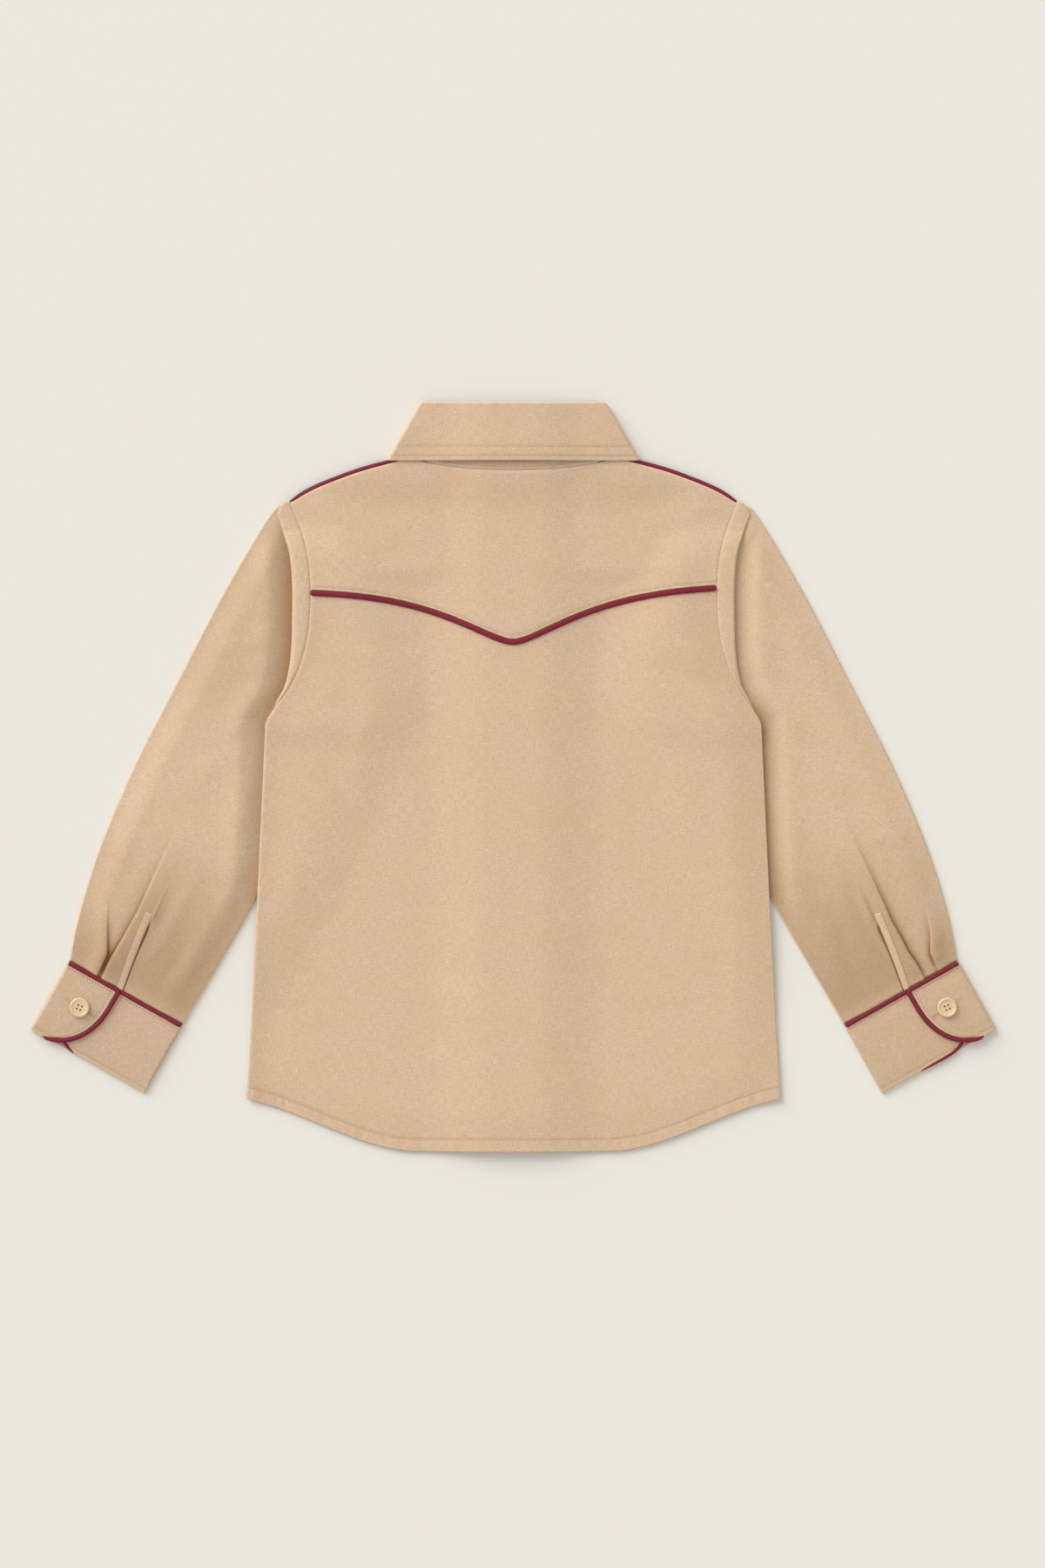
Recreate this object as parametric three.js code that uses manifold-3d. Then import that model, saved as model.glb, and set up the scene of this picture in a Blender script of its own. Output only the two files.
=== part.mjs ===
// A child's western shirt with long sleeves, buttoned up and laid face down on a table, in millimetres.
// The back is up (+Z), the collar points to +Y and the wearer's left arm to -X. The table is z = 0.
import * as THREE from "three";
import { mergeVertices } from "three/addons/utils/BufferGeometryUtils.js";
import Module from "manifold-3d";

const wasm = await Module();
wasm.setup();

// Driving sizes
const CLOTH = 1.0; // a cloth wall, which stands for the cloth and its seam allowances
const GAP = 0.3; // between pieces that are sewn together or lie on each other
const LAYER = CLOTH + GAP;
const HALF = CLOTH / 2;
const PIPING = { width: 4.2, height: 1.6 };
const SHOULDER_CORD = { width: 2.6, height: 2.4 };
const INSET = SHOULDER_CORD.width / 2 + 2 * GAP; // how far a panel stops short of the shoulder line
const BUTTON = { radius: 6.8, height: 2.2, rim: 1.3, dish: 0.5, hole: 0.75, holesAt: 1.8 };
const PLACKET_WIDTH = 25;
const BUTTON_ROWS = { first: 128, step: 64, count: 6 }; // the front buttons, from the top one down
const CUFF = { width: 89.5, height: 50.5, wall: 1.2, underlap: 46, tilt: 29.3 };
const CUFF_END = { from: 8, reach: 39.9, drop: 43.9, power: 2.3 }; // the curve of a cuff's two ends
const CUFF_CORNER = { a: 308.2, y: -130 }; // the top corner of a cuff on the sleeve's outer side
const CUFF_BUTTON = { p: 22, v: 20.8 };
const PLEAT_DEPTH = 1.4;
const SLIT = { length: 48, binding: 4, at: 42.4, cut: 0.7 };
const CROWN = 2.6; // how far a sleeve swells above its edges
const BODY_PUFF = 1.2; // how far the back lies off the fronts in the middle
const CENTRE = { flat: 14, ramp: 50, right: 3.8, left: 2.5 }; // the rise over the buttons and the placket
const SHOULDER_TIP = { a: 154.9, y: 189.6 };
const NECK_POINT = { a: 72, y: 222 };
const NECK_BACK_DROP = 11.2;
const NECK_FRONT_DROP = 61;
const YOKE = { drop: 35.5, decay: 3, power: 1.32, round: 3, endY: 128.7, halfWidth: 140.2, slope: 0.0118 };
const HEM = { side: 184.2, sideY: -222.3, drop: 36.2, flat: 0.36, turn: 7.4, extra: 0.4 };
const FRONT_HEM_RISE = 6; // the front hem is this much shorter
const COLLAR = { topY: 258.3, topHalf: 62.6, lowY: 219.4, lowHalf: 86.6 };
const COLLAR_FRONT = { meetA: 5, meetY: 189, tipA: 43, tipY: 151 };
const STAND = { topHalf: 59.5, lowHalf: 70.6, topDrop: 1.8, overlap: 12 };

// The rows of the panels where they meet a sleeve, and below the armpit, by their height at the side
const YOKE_ROWS = [181, 170, 158, 146, 134];
const ARMHOLE_ROWS = [122, 110, 98, 86, 74, 62, 51, 40];
const SIDE_ROWS = [12, -18, -48, -78, -102, -124, -146, -170, -194];
// The columns of the panels between the neck point and the front edge, and of the shoulders, as shares
const NECK_SHARES = [0, 0.2, 0.4, 0.58, 0.72, 0.86, 1];
const SHOULDER_SHARES = [0, 0.2, 0.4, 0.6, 0.8, 1];

// Distances from the centre line (a) at heights (y), as the seams and folds run on either side
const ARMHOLE = [
  { y: 189.6, a: 154.9 }, { y: 173, a: 147.6 }, { y: 156, a: 142.6 }, { y: 134, a: 140.1 },
  { y: 114.5, a: 140.3 }, { y: 95, a: 142.4 }, { y: 75.5, a: 147.8 }, { y: 62.3, a: 154.3 },
  { y: 49.4, a: 163.4 }, { y: 37.5, a: 171 },
];
const SIDE_SEAM = [{ y: -90, a: 177 }, { y: -170, a: 181.2 }, { y: -222.3, a: 184.2 }];
const ARMHOLE_FOLD = [
  { y: 188.4, a: 160.2 }, { y: 183, a: 163.4 }, { y: 178.4, a: 162 }, { y: 166.4, a: 158.2 },
  { y: 153.4, a: 154.6 }, { y: 133.8, a: 152.8 }, { y: 107.8, a: 152.8 }, { y: 88.3, a: 153.4 },
  { y: 71.3, a: 155.6 }, { y: 60.9, a: 158.6 }, { y: 50.7, a: 164.6 }, { y: 41, a: 171 },
];
// How far the armhole fold reaches back under the body
const FOLD_REACH = [{ y: 188, d: 5 }, { y: 150, d: 8 }, { y: 110, d: 20 }, { y: 75, d: 17 }, { y: 41, d: 5 }];
const SLEEVE_OUTER = [
  { a: 161.4, y: 188.4 }, { a: 168.4, y: 179.6 }, { a: 199.8, y: 126.9 }, { a: 231, y: 66.9 },
  { a: 261.6, y: 6.9 }, { a: 286.8, y: -53.1 }, { a: 301.2, y: -101.1 }, { a: 305.9, y: -125.8 },
];
const SLEEVE_INNER = [
  { a: 155.4, y: 187.6 }, { a: 146.2, y: 166 }, { a: 131, y: 125 }, { a: 119, y: 82 },
  { a: 117, y: 52 }, { a: 137, y: 4 }, { a: 160, y: -46 }, { a: 180.6, y: -88 }, { a: 227.8, y: -169.6 },
];
const SHOULDER = [
  { a: 154.9, y: 189.6 }, { a: 140.6, y: 198.2 }, { a: 120.7, y: 206.6 }, { a: 103.6, y: 212.6 },
  { a: 87.6, y: 217 }, { a: 72, y: 221.6 },
];
// The two pleats above each cuff: how far their folds lie from the sleeve's outer edge, p, at a distance up
const PLEATS = {
  left: {
    outer: [{ up: 0, p: 21.5 }, { up: 16, p: 23.8 }, { up: 32, p: 19.3 }, { up: 48, p: 15 }],
    inner: [{ up: 0, p: 25.5 }, { up: 30, p: 31 }, { up: 51, p: 33.4 }, { up: 115, p: 35 }],
    fade: { outer: 56, inner: 120 },
  },
  right: {
    outer: [{ up: 0, p: 14.6 }, { up: 13, p: 16.6 }, { up: 26, p: 13.2 }, { up: 40, p: 12 }],
    inner: [{ up: 0, p: 26 }, { up: 21, p: 31.5 }, { up: 44, p: 34.3 }, { up: 128, p: 35 }],
    fade: { outer: 50, inner: 132 },
  },
};

// Small maths
const smooth = (t) => {
  const c = Math.min(1, Math.max(0, t));
  return c * c * (3 - 2 * c);
};
const mix = (a, b, t) => a + (b - a) * t;
const evenly = (n) => Array.from({ length: n + 1 }, (_, i) => i / n);
const softMax = (...values) => Math.pow(values.reduce((sum, v) => sum + Math.pow(v, 4), 0), 0.25);
const point = (x, y, z) => new THREE.Vector3(x, y, z);

// A value read from a table whose rows rise or fall along one of their columns
function along(table, key, value, at) {
  const rising = table[table.length - 1][key] > table[0][key];
  const rows = rising ? table : [...table].reverse();
  if (at <= rows[0][key]) return rows[0][value];
  for (let i = 1; i < rows.length; i++) {
    const [low, high] = [rows[i - 1], rows[i]];
    if (at <= high[key]) return mix(low[value], high[value], (at - low[key]) / (high[key] - low[key]));
  }
  return rows[rows.length - 1][value];
}

// A table's points on a smooth curve, evenly spaced along it
function smoothed(table, steps) {
  const curve = new THREE.CatmullRomCurve3(table.map((row) => point(row.a, row.y, 0)), false, "centripetal");
  return evenly(steps).map((t) => {
    const p = curve.getPointAt(t);
    return { a: p.x, y: p.y };
  });
}

const armholeLine = smoothed(ARMHOLE, 48);
const foldLine = smoothed(ARMHOLE_FOLD, 48);
const sideLine = [...armholeLine, ...SIDE_SEAM];
const innerLine = smoothed(SLEEVE_INNER, 80);
const outerLine = smoothed(SLEEVE_OUTER, 80);
const shoulderLine = smoothed(SHOULDER, 32);
const armholeAt = (y) => along(armholeLine, "y", "a", y);
const foldAt = (y) => along(foldLine, "y", "a", y);
const sideAt = (y) => along(sideLine, "y", "a", y);
const sleeveInnerAt = (y) => along(innerLine, "y", "a", y);
const shoulderAt = (a) => along(shoulderLine, "a", "y", a);

// The yoke's lower edge, the neck, the collar's fold on the front and the hem, as heights over x
function yokeEdge(x) {
  const u = (Math.hypot(x, YOKE.round) - YOKE.round) / (YOKE.halfWidth - YOKE.round);
  const tail = Math.exp(-YOKE.decay);
  const fall = (Math.exp(-YOKE.decay * Math.pow(u, YOKE.power)) - tail) / (1 - tail);
  return YOKE.endY + YOKE.slope * x - YOKE.drop * fall;
}
function neckline(x, drop) {
  const u = Math.min(1, Math.abs(x) / NECK_POINT.a);
  return NECK_POINT.y - drop * (1 - Math.pow(u, 2.4));
}
function collarFoldFront(x) {
  const t = (Math.abs(x) - COLLAR_FRONT.meetA) / (COLLAR.topHalf - COLLAR_FRONT.meetA);
  return mix(COLLAR_FRONT.meetY, COLLAR.topY, Math.pow(Math.max(0, t), 1.15));
}
function hemEdge(x) {
  const u = Math.abs(x) / HEM.side;
  const t = Math.max(0, (u - HEM.flat) / (1 - HEM.flat));
  return HEM.sideY - HEM.drop * (1 - 0.06 * u * u - 0.94 * (0.72 * smooth(t) + 0.28 * t * t));
}
function topEdge(x, neckDrop) {
  const a = Math.abs(x);
  return (a > NECK_POINT.a ? shoulderAt(a) : neckline(x, neckDrop)) - INSET;
}

// The underside of the fronts and of the back, over whatever lies beneath them
function sleeveLift(x, y) {
  const tube = 2 * LAYER * smooth((186 - y) / 30);
  const fold = LAYER * smooth((182 - y) / 34) * (1 - smooth((40 - y) / 25));
  const full = (y > 160 ? armholeAt(y) : sleeveInnerAt(y)) - 15;
  const ramp = 26;
  return (tube + fold) * smooth((Math.abs(x) - full + ramp) / ramp);
}
const collarLift = (y) => LAYER * smooth((y - 128) / 18);
const centreRise = (x, height) => height * (1 - smooth((Math.abs(x) - CENTRE.flat) / CENTRE.ramp));
const frontLevel = (x, y, rise) => softMax(sleeveLift(x, y), collarLift(y), centreRise(x, rise));
function backLevel(x, y) {
  const inside = smooth((sideAt(y) - Math.abs(x)) / 30) * smooth((y - hemEdge(x)) / 30);
  return frontLevel(x, y, CENTRE.right) + LAYER + BODY_PUFF * inside;
}

// A grid of quads and its four borders, as a closed wall. Points run along u in a row, rows along v.
function wall(rows, thickness, { ring = false, extra = () => 0 } = {}) {
  const nv = rows.length;
  const nu = rows[0].length;
  const wrap = (i) => (ring ? (i + nu) % nu : Math.min(nu - 1, Math.max(0, i)));
  const outer = [];
  const inner = [];
  for (let j = 0; j < nv; j++)
    for (let i = 0; i < nu; i++) {
      const du = point().subVectors(rows[j][wrap(i + 1)], rows[j][wrap(i - 1)]);
      const dv = point().subVectors(rows[Math.min(nv - 1, j + 1)][i], rows[Math.max(0, j - 1)][i]);
      const normal = du.cross(dv).normalize();
      outer.push(rows[j][i].clone().addScaledVector(normal, thickness / 2 + extra(i, j)));
      inner.push(rows[j][i].clone().addScaledVector(normal, -thickness / 2));
    }
  const top = (i, j) => j * nu + (i % nu);
  const low = (i, j) => nu * nv + top(i, j);
  const index = [];
  const quad = (a, b, c, d) => index.push(a, b, c, a, c, d);
  const across = ring ? nu : nu - 1;
  for (let i = 0; i < across; i++) {
    for (let j = 0; j < nv - 1; j++) {
      quad(top(i, j), top(i + 1, j), top(i + 1, j + 1), top(i, j + 1));
      quad(low(i, j), low(i, j + 1), low(i + 1, j + 1), low(i + 1, j));
    }
    quad(top(i + 1, 0), top(i, 0), low(i, 0), low(i + 1, 0));
    quad(top(i, nv - 1), top(i + 1, nv - 1), low(i + 1, nv - 1), low(i, nv - 1));
  }
  if (!ring)
    for (let j = 0; j < nv - 1; j++) {
      quad(top(0, j), top(0, j + 1), low(0, j + 1), low(0, j));
      quad(top(nu - 1, j + 1), top(nu - 1, j), low(nu - 1, j), low(nu - 1, j + 1));
    }
  return indexed([...outer, ...inner], index);
}

function indexed(points, index) {
  const geometry = new THREE.BufferGeometry();
  geometry.setAttribute("position", new THREE.Float32BufferAttribute(points.flatMap((p) => p.toArray()), 3));
  geometry.setIndex(index);
  return geometry;
}

// A cord of oval section along points, its width level
function cord(points, width, height, sides = 8) {
  const last = points.length - 1;
  const skin = [];
  points.forEach((p, i) => {
    const run = point().subVectors(points[Math.min(last, i + 1)], points[Math.max(0, i - 1)]);
    const across = point(run.y, -run.x, 0).normalize();
    for (let k = 0; k < sides; k++) {
      const turn = (2 * Math.PI * (k + 0.5)) / sides;
      const q = p.clone().addScaledVector(across, (-Math.cos(turn) * width) / 2);
      skin.push(q.setZ(q.z + (Math.sin(turn) * height) / 2));
    }
  });
  const ends = [skin.length, skin.length + 1];
  skin.push(points[0].clone(), points[last].clone());
  const id = (i, k) => i * sides + (k % sides);
  const index = [];
  for (let k = 0; k < sides; k++) {
    for (let i = 0; i < last; i++)
      index.push(id(i, k), id(i, k + 1), id(i + 1, k + 1), id(i, k), id(i + 1, k + 1), id(i + 1, k));
    index.push(ends[0], id(0, k + 1), id(0, k));
    index.push(ends[1], id(last, k), id(last, k + 1));
  }
  return indexed(skin, index);
}

// Solids for joining and cutting
function solidOf(geometry) {
  const bare = geometry.clone();
  bare.deleteAttribute("normal");
  bare.deleteAttribute("uv");
  const merged = mergeVertices(bare, 1e-4);
  const mesh = new wasm.Mesh({
    numProp: 3,
    vertProperties: new Float32Array(merged.attributes.position.array),
    triVerts: new Uint32Array(merged.index.array),
  });
  return new wasm.Manifold(mesh);
}
function geometryOf(solid) {
  const mesh = solid.getMesh();
  const geometry = new THREE.BufferGeometry();
  geometry.setAttribute("position", new THREE.Float32BufferAttribute(mesh.vertProperties, 3));
  geometry.setIndex(new THREE.Uint32BufferAttribute(mesh.triVerts, 1));
  return geometry;
}

// Rows of a four-sided panel. Its side columns follow the seams; its top and bottom rows follow their edges.
function panelRows({ columns, heights, top, bottom, edges, height }) {
  const [first, last] = [heights[0], heights[heights.length - 1]];
  const yAt = (u, base) => {
    const v = (first - base) / (first - last);
    const rise = top(mix(...edges(first), u)) - first;
    const fall = bottom(mix(...edges(last), u)) - last;
    return base + (1 - v) * rise + v * fall;
  };
  return heights.map((base) =>
    columns.map((u) => {
      const x = mix(edges(yAt(0, base))[0], edges(yAt(1, base))[1], u);
      const y = yAt(u, base);
      return point(x, y, height(x, y) + HALF);
    }),
  );
}
const turned = (rows) => rows.map((row) => [...row].reverse());

// The columns of the back and the yoke
const backCorner = (1 - NECK_POINT.a / SHOULDER_TIP.a) / 2;
const backColumns = [
  ...SHOULDER_SHARES.map((t) => t * backCorner),
  ...evenly(10).slice(1, -1).map((t) => mix(backCorner, 1 - backCorner, t)),
  ...SHOULDER_SHARES.map((t) => 1 - t * backCorner).reverse(),
];

function backPanel() {
  const heights = [YOKE.endY - GAP / 2, ...ARMHOLE_ROWS, ...SIDE_ROWS, HEM.sideY + HEM.turn, HEM.sideY];
  const rows = panelRows({
    columns: backColumns,
    heights,
    top: (x) => yokeEdge(x) - GAP / 2,
    bottom: hemEdge,
    edges: (y) => [-sideAt(y) + GAP / 2, sideAt(y) - GAP / 2],
    height: backLevel,
  });
  const hemRow = heights.length - 2;
  return wall(turned(rows), CLOTH, { extra: (i, j) => (j >= hemRow ? HEM.extra : 0) });
}

function yoke() {
  const rows = panelRows({
    columns: backColumns,
    heights: [SHOULDER_TIP.y - INSET, ...YOKE_ROWS, YOKE.endY + GAP / 2],
    top: (x) => topEdge(x, NECK_BACK_DROP),
    bottom: (x) => yokeEdge(x) + GAP / 2,
    edges: (y) => [-armholeAt(y) + GAP / 2, armholeAt(y) - GAP / 2],
    height: backLevel,
  });
  return wall(turned(rows), CLOTH);
}

// A front, from its side seam to its front edge. The left one ends at the placket, and the right one
// reaches over it.
function front(side) {
  const left = side < 0;
  const edge = left ? PLACKET_WIDTH / 2 + GAP : 0.5 - PLACKET_WIDTH / 2;
  const corner = (SHOULDER_TIP.a - NECK_POINT.a) / (SHOULDER_TIP.a - edge);
  const columns = SHOULDER_SHARES.map((t) => t * corner);
  columns.push(...NECK_SHARES.slice(1).map((t) => mix(corner, 1, t)));
  const hem = HEM.sideY + FRONT_HEM_RISE;
  const rows = panelRows({
    columns,
    heights: [SHOULDER_TIP.y - INSET, ...YOKE_ROWS, ...ARMHOLE_ROWS, ...SIDE_ROWS, hem + HEM.turn, hem],
    top: (x) => topEdge(x, NECK_FRONT_DROP),
    bottom: (x) => hemEdge(x) + FRONT_HEM_RISE,
    edges: (y) => [sideAt(y) - GAP / 2, edge],
    height: (x, y) => frontLevel(x, y, left ? CENTRE.left : CENTRE.right),
  });
  return wall(sided(rows, side), CLOTH);
}

// The band down the left front, under the right front's edge as it lies
function placket() {
  const half = PLACKET_WIDTH / 2;
  const topY = neckline(0, NECK_FRONT_DROP) - INSET;
  const rows = evenly(12).map((v) =>
    [half, 0, -half].map((x) => {
      const y = mix(topY, hemEdge(0) + FRONT_HEM_RISE, v);
      return point(x, y, frontLevel(0, y, CENTRE.left) + HALF);
    }),
  );
  return wall(rows, CLOTH);
}

// A point on one of the evenly spaced lines
function onLine(line, s) {
  const at = s * (line.length - 1);
  const i = Math.min(line.length - 2, Math.floor(at));
  return point(mix(line[i].a, line[i + 1].a, at - i), mix(line[i].y, line[i + 1].y, at - i), 0);
}

// A sleeve lies as a flat tube. s runs down it from the shoulder to the cuff, and p across it from its
// outer edge.
const TUBE = { low: HALF, high: HALF + LAYER, edge: 0.7, side: HALF + LAYER / 2, start: 0.012, length: 350 };
function sleevePlace(s, p) {
  const outer = onLine(outerLine, s);
  const inner = onLine(innerLine, s);
  const width = outer.distanceTo(inner);
  return { at: outer.lerp(inner, p / width), width };
}
function sleeveHeight(pleats, s, p) {
  const { at, width } = sleevePlace(s, p);
  const up = (1 - s) * TUBE.length;
  const size = width / CUFF.width;
  const cover = smooth((at.x - Math.max(foldAt(at.y), sideAt(at.y)) - 18) / 24);
  const crown = CROWN * smooth(p / 22) * smooth((width - p) / 22) * cover * mix(0.35, 1, smooth(up / 60));
  const outerFold = along(pleats.outer, "up", "p", up) * size;
  const innerFold = along(pleats.inner, "up", "p", up) * size;
  const ridge = (back, reach, fade) => (back < 0 ? 0 : (1 - smooth(back / reach)) * (1 - smooth(up / fade)));
  const outerRidge = ridge(outerFold - p, 12, pleats.fade.outer);
  const innerRidge = ridge(p - innerFold, 18, pleats.fade.inner);
  return TUBE.high + crown + PLEAT_DEPTH * Math.max(outerRidge, innerRidge);
}
function sleeveKnots(pleats, s, width) {
  const up = (1 - s) * TUBE.length;
  const outerFold = along(pleats.outer, "up", "p", up);
  const innerFold = along(pleats.inner, "up", "p", up);
  const step = 0.6;
  const binding = SLIT.at - SLIT.cut - SLIT.binding;
  const placed = [
    outerFold / 2, outerFold - step, outerFold + step, innerFold - step, innerFold + step,
    binding, SLIT.at, 56, 72,
  ].map((p) => (p * width) / CUFF.width);
  const n = placed.length + 1;
  const known = smooth((width - 30) / 40);
  const inside = placed.map((p, k) => mix(((k + 1) / n) * width, p, known));
  return [TUBE.edge, ...inside, width - TUBE.edge];
}

const stations = evenly(21).map((t) => mix(TUBE.start, 1, t * (1.25 - 0.25 * t)));
function sleeveTube(side, pleats) {
  const rows = stations.map((s) => {
    const { width } = sleevePlace(s, 0);
    const place = (p, z) => sleevePlace(s, p).at.setZ(z);
    const upper = sleeveKnots(pleats, s, width).map((p) => place(p, sleeveHeight(pleats, s, p)));
    const lower = [width - TUBE.edge, width * 0.66, width * 0.33, TUBE.edge].map((p) => place(p, TUBE.low));
    return [place(0, TUBE.side), ...upper, place(width, TUBE.side), ...lower];
  });
  return wall(sided(rows, side), CLOTH, { ring: true });
}

// Rows made for the wearer's right, on either side
function sided(rows, side) {
  for (const p of rows.flat()) p.x *= side;
  return side < 0 ? turned(rows) : rows;
}

// The sleeve's top beside the armhole seam. It folds over itself, goes back under the body and joins the
// tube.
function sleeveCap(side) {
  const rows = [SHOULDER_TIP.y - INSET, ...YOKE_ROWS, ...ARMHOLE_ROWS].map((y) => {
    const seam = armholeAt(y) + GAP / 2;
    const fold = Math.max(foldAt(y), seam + 2.4) - HALF;
    const reach = fold - along(FOLD_REACH, "y", "d", y);
    const top = backLevel(armholeAt(y) - GAP / 2, y) + HALF;
    const low = Math.max(TUBE.high, Math.min(TUBE.high + LAYER, top - LAYER));
    const middle = (top + low) / 2;
    const rise = (top - low) / 2;
    const round = Math.min(1.3, rise, fold - seam - 0.6);
    const bend = fold - round;
    const end = y > 140 ? Math.max(reach - 2, seam + 0.3) : reach - 2;
    const [out, up] = [bend + 0.75 * round, 0.65 * rise];
    const section = [
      [end, TUBE.high], [Math.min(end + 2, mix(end, bend, 0.4)), low], [bend, low],
      [out, middle - up], [fold, middle], [out, middle + up],
      [bend, top], [(bend + seam) / 2, top], [seam, top],
    ];
    return section.map(([a, z]) => point(a, y, z));
  });
  return wall(sided(rows, side), CLOTH);
}

// The place where a point of the cuff's width lies further up the sleeve
const upSleeve = (s, p) => sleevePlace(s, (p * sleevePlace(s, 0).width) / CUFF.width).at;
function sleeve(side, pleats) {
  const from = upSleeve(1 - SLIT.length / TUBE.length, SLIT.at);
  const to = upSleeve(1, SLIT.at);
  const run = point().subVectors(to, from);
  const box = new THREE.BoxGeometry(run.length() + 8, SLIT.cut, 12);
  box.translate(run.length() / 2 + 4, 0, 6 + TUBE.side);
  box.rotateZ(Math.atan2(run.y, run.x));
  box.translate(from.x, from.y, 0);
  const slit = solidOf(box);
  const tube = solidOf(sleeveTube(side, pleats)).add(solidOf(sleeveCap(side)));
  return geometryOf(tube.subtract(side < 0 ? slit.mirror([1, 0, 0]) : slit));
}

// The binding of the sleeve's slit, lying on the sleeve beside it
function sleevePlacket(side, pleats) {
  const far = SLIT.at - SLIT.cut;
  const rows = stations
    .filter((s) => (1 - s) * TUBE.length < SLIT.length + 6)
    .map((s) =>
      [far - SLIT.binding, far - SLIT.binding / 2, far].map((p) => {
        const height = sleeveHeight(pleats, s, (p * sleevePlace(s, 0).width) / CUFF.width);
        return upSleeve(s, p).setZ(height + LAYER + 0.1);
      }),
    );
  return wall(sided(rows, side), CLOTH);
}

// A cuff goes once round and over itself: the underlap's end, the band, the underside and the flap
const CUFF_Z = { low: CUFF.wall / 2, band: 1.5 * CUFF.wall + GAP, flap: 2.5 * CUFF.wall + 2 * GAP };
const CUFF_TOP = -(PIPING.width + GAP);
const CUFF_LEVELS = [CUFF_TOP, 0, 8, 18, 27, 34, 40, 44.5, 47.5, 49.3, CUFF.height];
function cuffPlace(p, v, z) {
  const tilt = THREE.MathUtils.degToRad(CUFF.tilt);
  const [cos, sin] = [Math.cos(tilt), Math.sin(tilt)];
  return point(CUFF_CORNER.a - p * cos + v * sin, CUFF_CORNER.y - p * sin - v * cos, z);
}
// How far a cuff's end reaches at a level v: its piping's middle, or a line that lies beyond it
function endAt(v, beyond) {
  const fall = Math.max(0, v - CUFF_END.from) / (CUFF_END.drop + beyond);
  const left = Math.max(0, 1 - Math.pow(fall, CUFF_END.power));
  return (CUFF_END.reach + beyond) * Math.pow(left, 1 / CUFF_END.power);
}
// Points along that end's curve, at turns in degrees
const endCurve = (turns) =>
  turns.map((turn) => {
    const angle = THREE.MathUtils.degToRad(turn);
    const bent = (value) => Math.pow(value, 2 / CUFF_END.power);
    return [CUFF_END.reach * bent(Math.cos(angle)), CUFF_END.from + CUFF_END.drop * bent(Math.sin(angle))];
  });
function cuff(side) {
  const rows = CUFF_LEVELS.map((v) => {
    const under = CUFF.underlap - endAt(v, -PIPING.width / 2 - GAP);
    const flap = endAt(v, PIPING.width / 2);
    const inner = (CUFF_Z.band - CUFF_Z.low) / 2;
    const outer = (CUFF_Z.flap - CUFF_Z.low) / 2;
    const W = CUFF.width;
    const section = [];
    for (const t of [0, 0.25, 0.5, 0.75, 1]) section.push([mix(under, W - inner, t), CUFF_Z.band]);
    section.push([W - 0.3 * inner, CUFF_Z.band - 0.3 * inner], [W, CUFF_Z.low + inner]);
    section.push([W - 0.3 * inner, CUFF_Z.low + 0.3 * inner]);
    for (const t of [0, 0.5, 1]) section.push([mix(W - inner, outer, t), CUFF_Z.low]);
    section.push([0.3 * outer, CUFF_Z.low + 0.3 * outer], [0, CUFF_Z.low + outer]);
    section.push([0.3 * outer, CUFF_Z.flap - 0.3 * outer]);
    for (const t of [0, 0.33, 0.67, 1]) section.push([mix(outer, flap, t), CUFF_Z.flap]);
    return section.map(([p, z]) => cuffPlace(p, v, z));
  });
  return wall(sided(rows, side), CUFF.wall);
}

// The piping on a cuff: round the flap, along the band's top and round the underlap's corner
const onCuff = (layer) => layer + CUFF.wall / 2 + GAP + PIPING.height / 2;
const PIPING_V = CUFF_TOP + PIPING.width / 2;
function onCuffCord(side, places, z, width, height) {
  const points = places.map(([p, v]) => cuffPlace(p, v, z));
  return cord(sided([points], side)[0], width, height);
}
function flapPiping(side) {
  const bend = 3; // the radius of the cord's corner
  const places = [2, 12, 22, 30].map((p) => [p, PIPING_V]);
  for (const turn of [-90, -68, -45, -22, 0]) {
    const angle = THREE.MathUtils.degToRad(turn);
    places.push([CUFF_END.reach + bend * (Math.cos(angle) - 1), PIPING_V + bend * (Math.sin(angle) + 1)]);
  }
  places.push(...endCurve([3, 10, 19, 29, 39, 49, 59, 68, 74]));
  return onCuffCord(side, places, onCuff(CUFF_Z.flap), PIPING.width, PIPING.height);
}
function bandPiping(side) {
  const from = CUFF_END.reach + PIPING.width / 2 + GAP;
  const places = evenly(6).map((t) => [mix(from, CUFF.width - 1, t), PIPING_V]);
  return onCuffCord(side, places, onCuff(CUFF_Z.band), PIPING.width, PIPING.height);
}
function underlapPiping(side) {
  const edge = [[CUFF_END.reach, 2], ...endCurve([3, 12, 23, 34, 45, 56, 66, 74])];
  const places = edge.map(([reach, v]) => [CUFF.underlap - reach, v]);
  return onCuffCord(side, places, CUFF_Z.band, PIPING.width - GAP, CUFF.wall);
}

// The piping in the yoke's seam and in the shoulder seams
function yokePiping() {
  const ends = YOKE.halfWidth - 0.6;
  const points = evenly(36).map((t) => {
    const x = mix(-ends, ends, t);
    const y = yokeEdge(x);
    return point(x, y, backLevel(x, y) + CLOTH + GAP + 0.1 + PIPING.height / 2);
  });
  return cord(points, PIPING.width, PIPING.height);
}
function shoulderPiping(side) {
  const points = shoulderLine
    .filter((row, i) => row.a > NECK_POINT.a + 3 && i % 2 === 0)
    .map(({ a, y }) => {
      const inside = y - INSET;
      const middle = (frontLevel(a, inside, CENTRE.right) + backLevel(a, inside) + CLOTH) / 2;
      return point(a, y, middle);
    });
  return cord(sided([points], side)[0], SHOULDER_CORD.width, SHOULDER_CORD.height);
}

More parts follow.
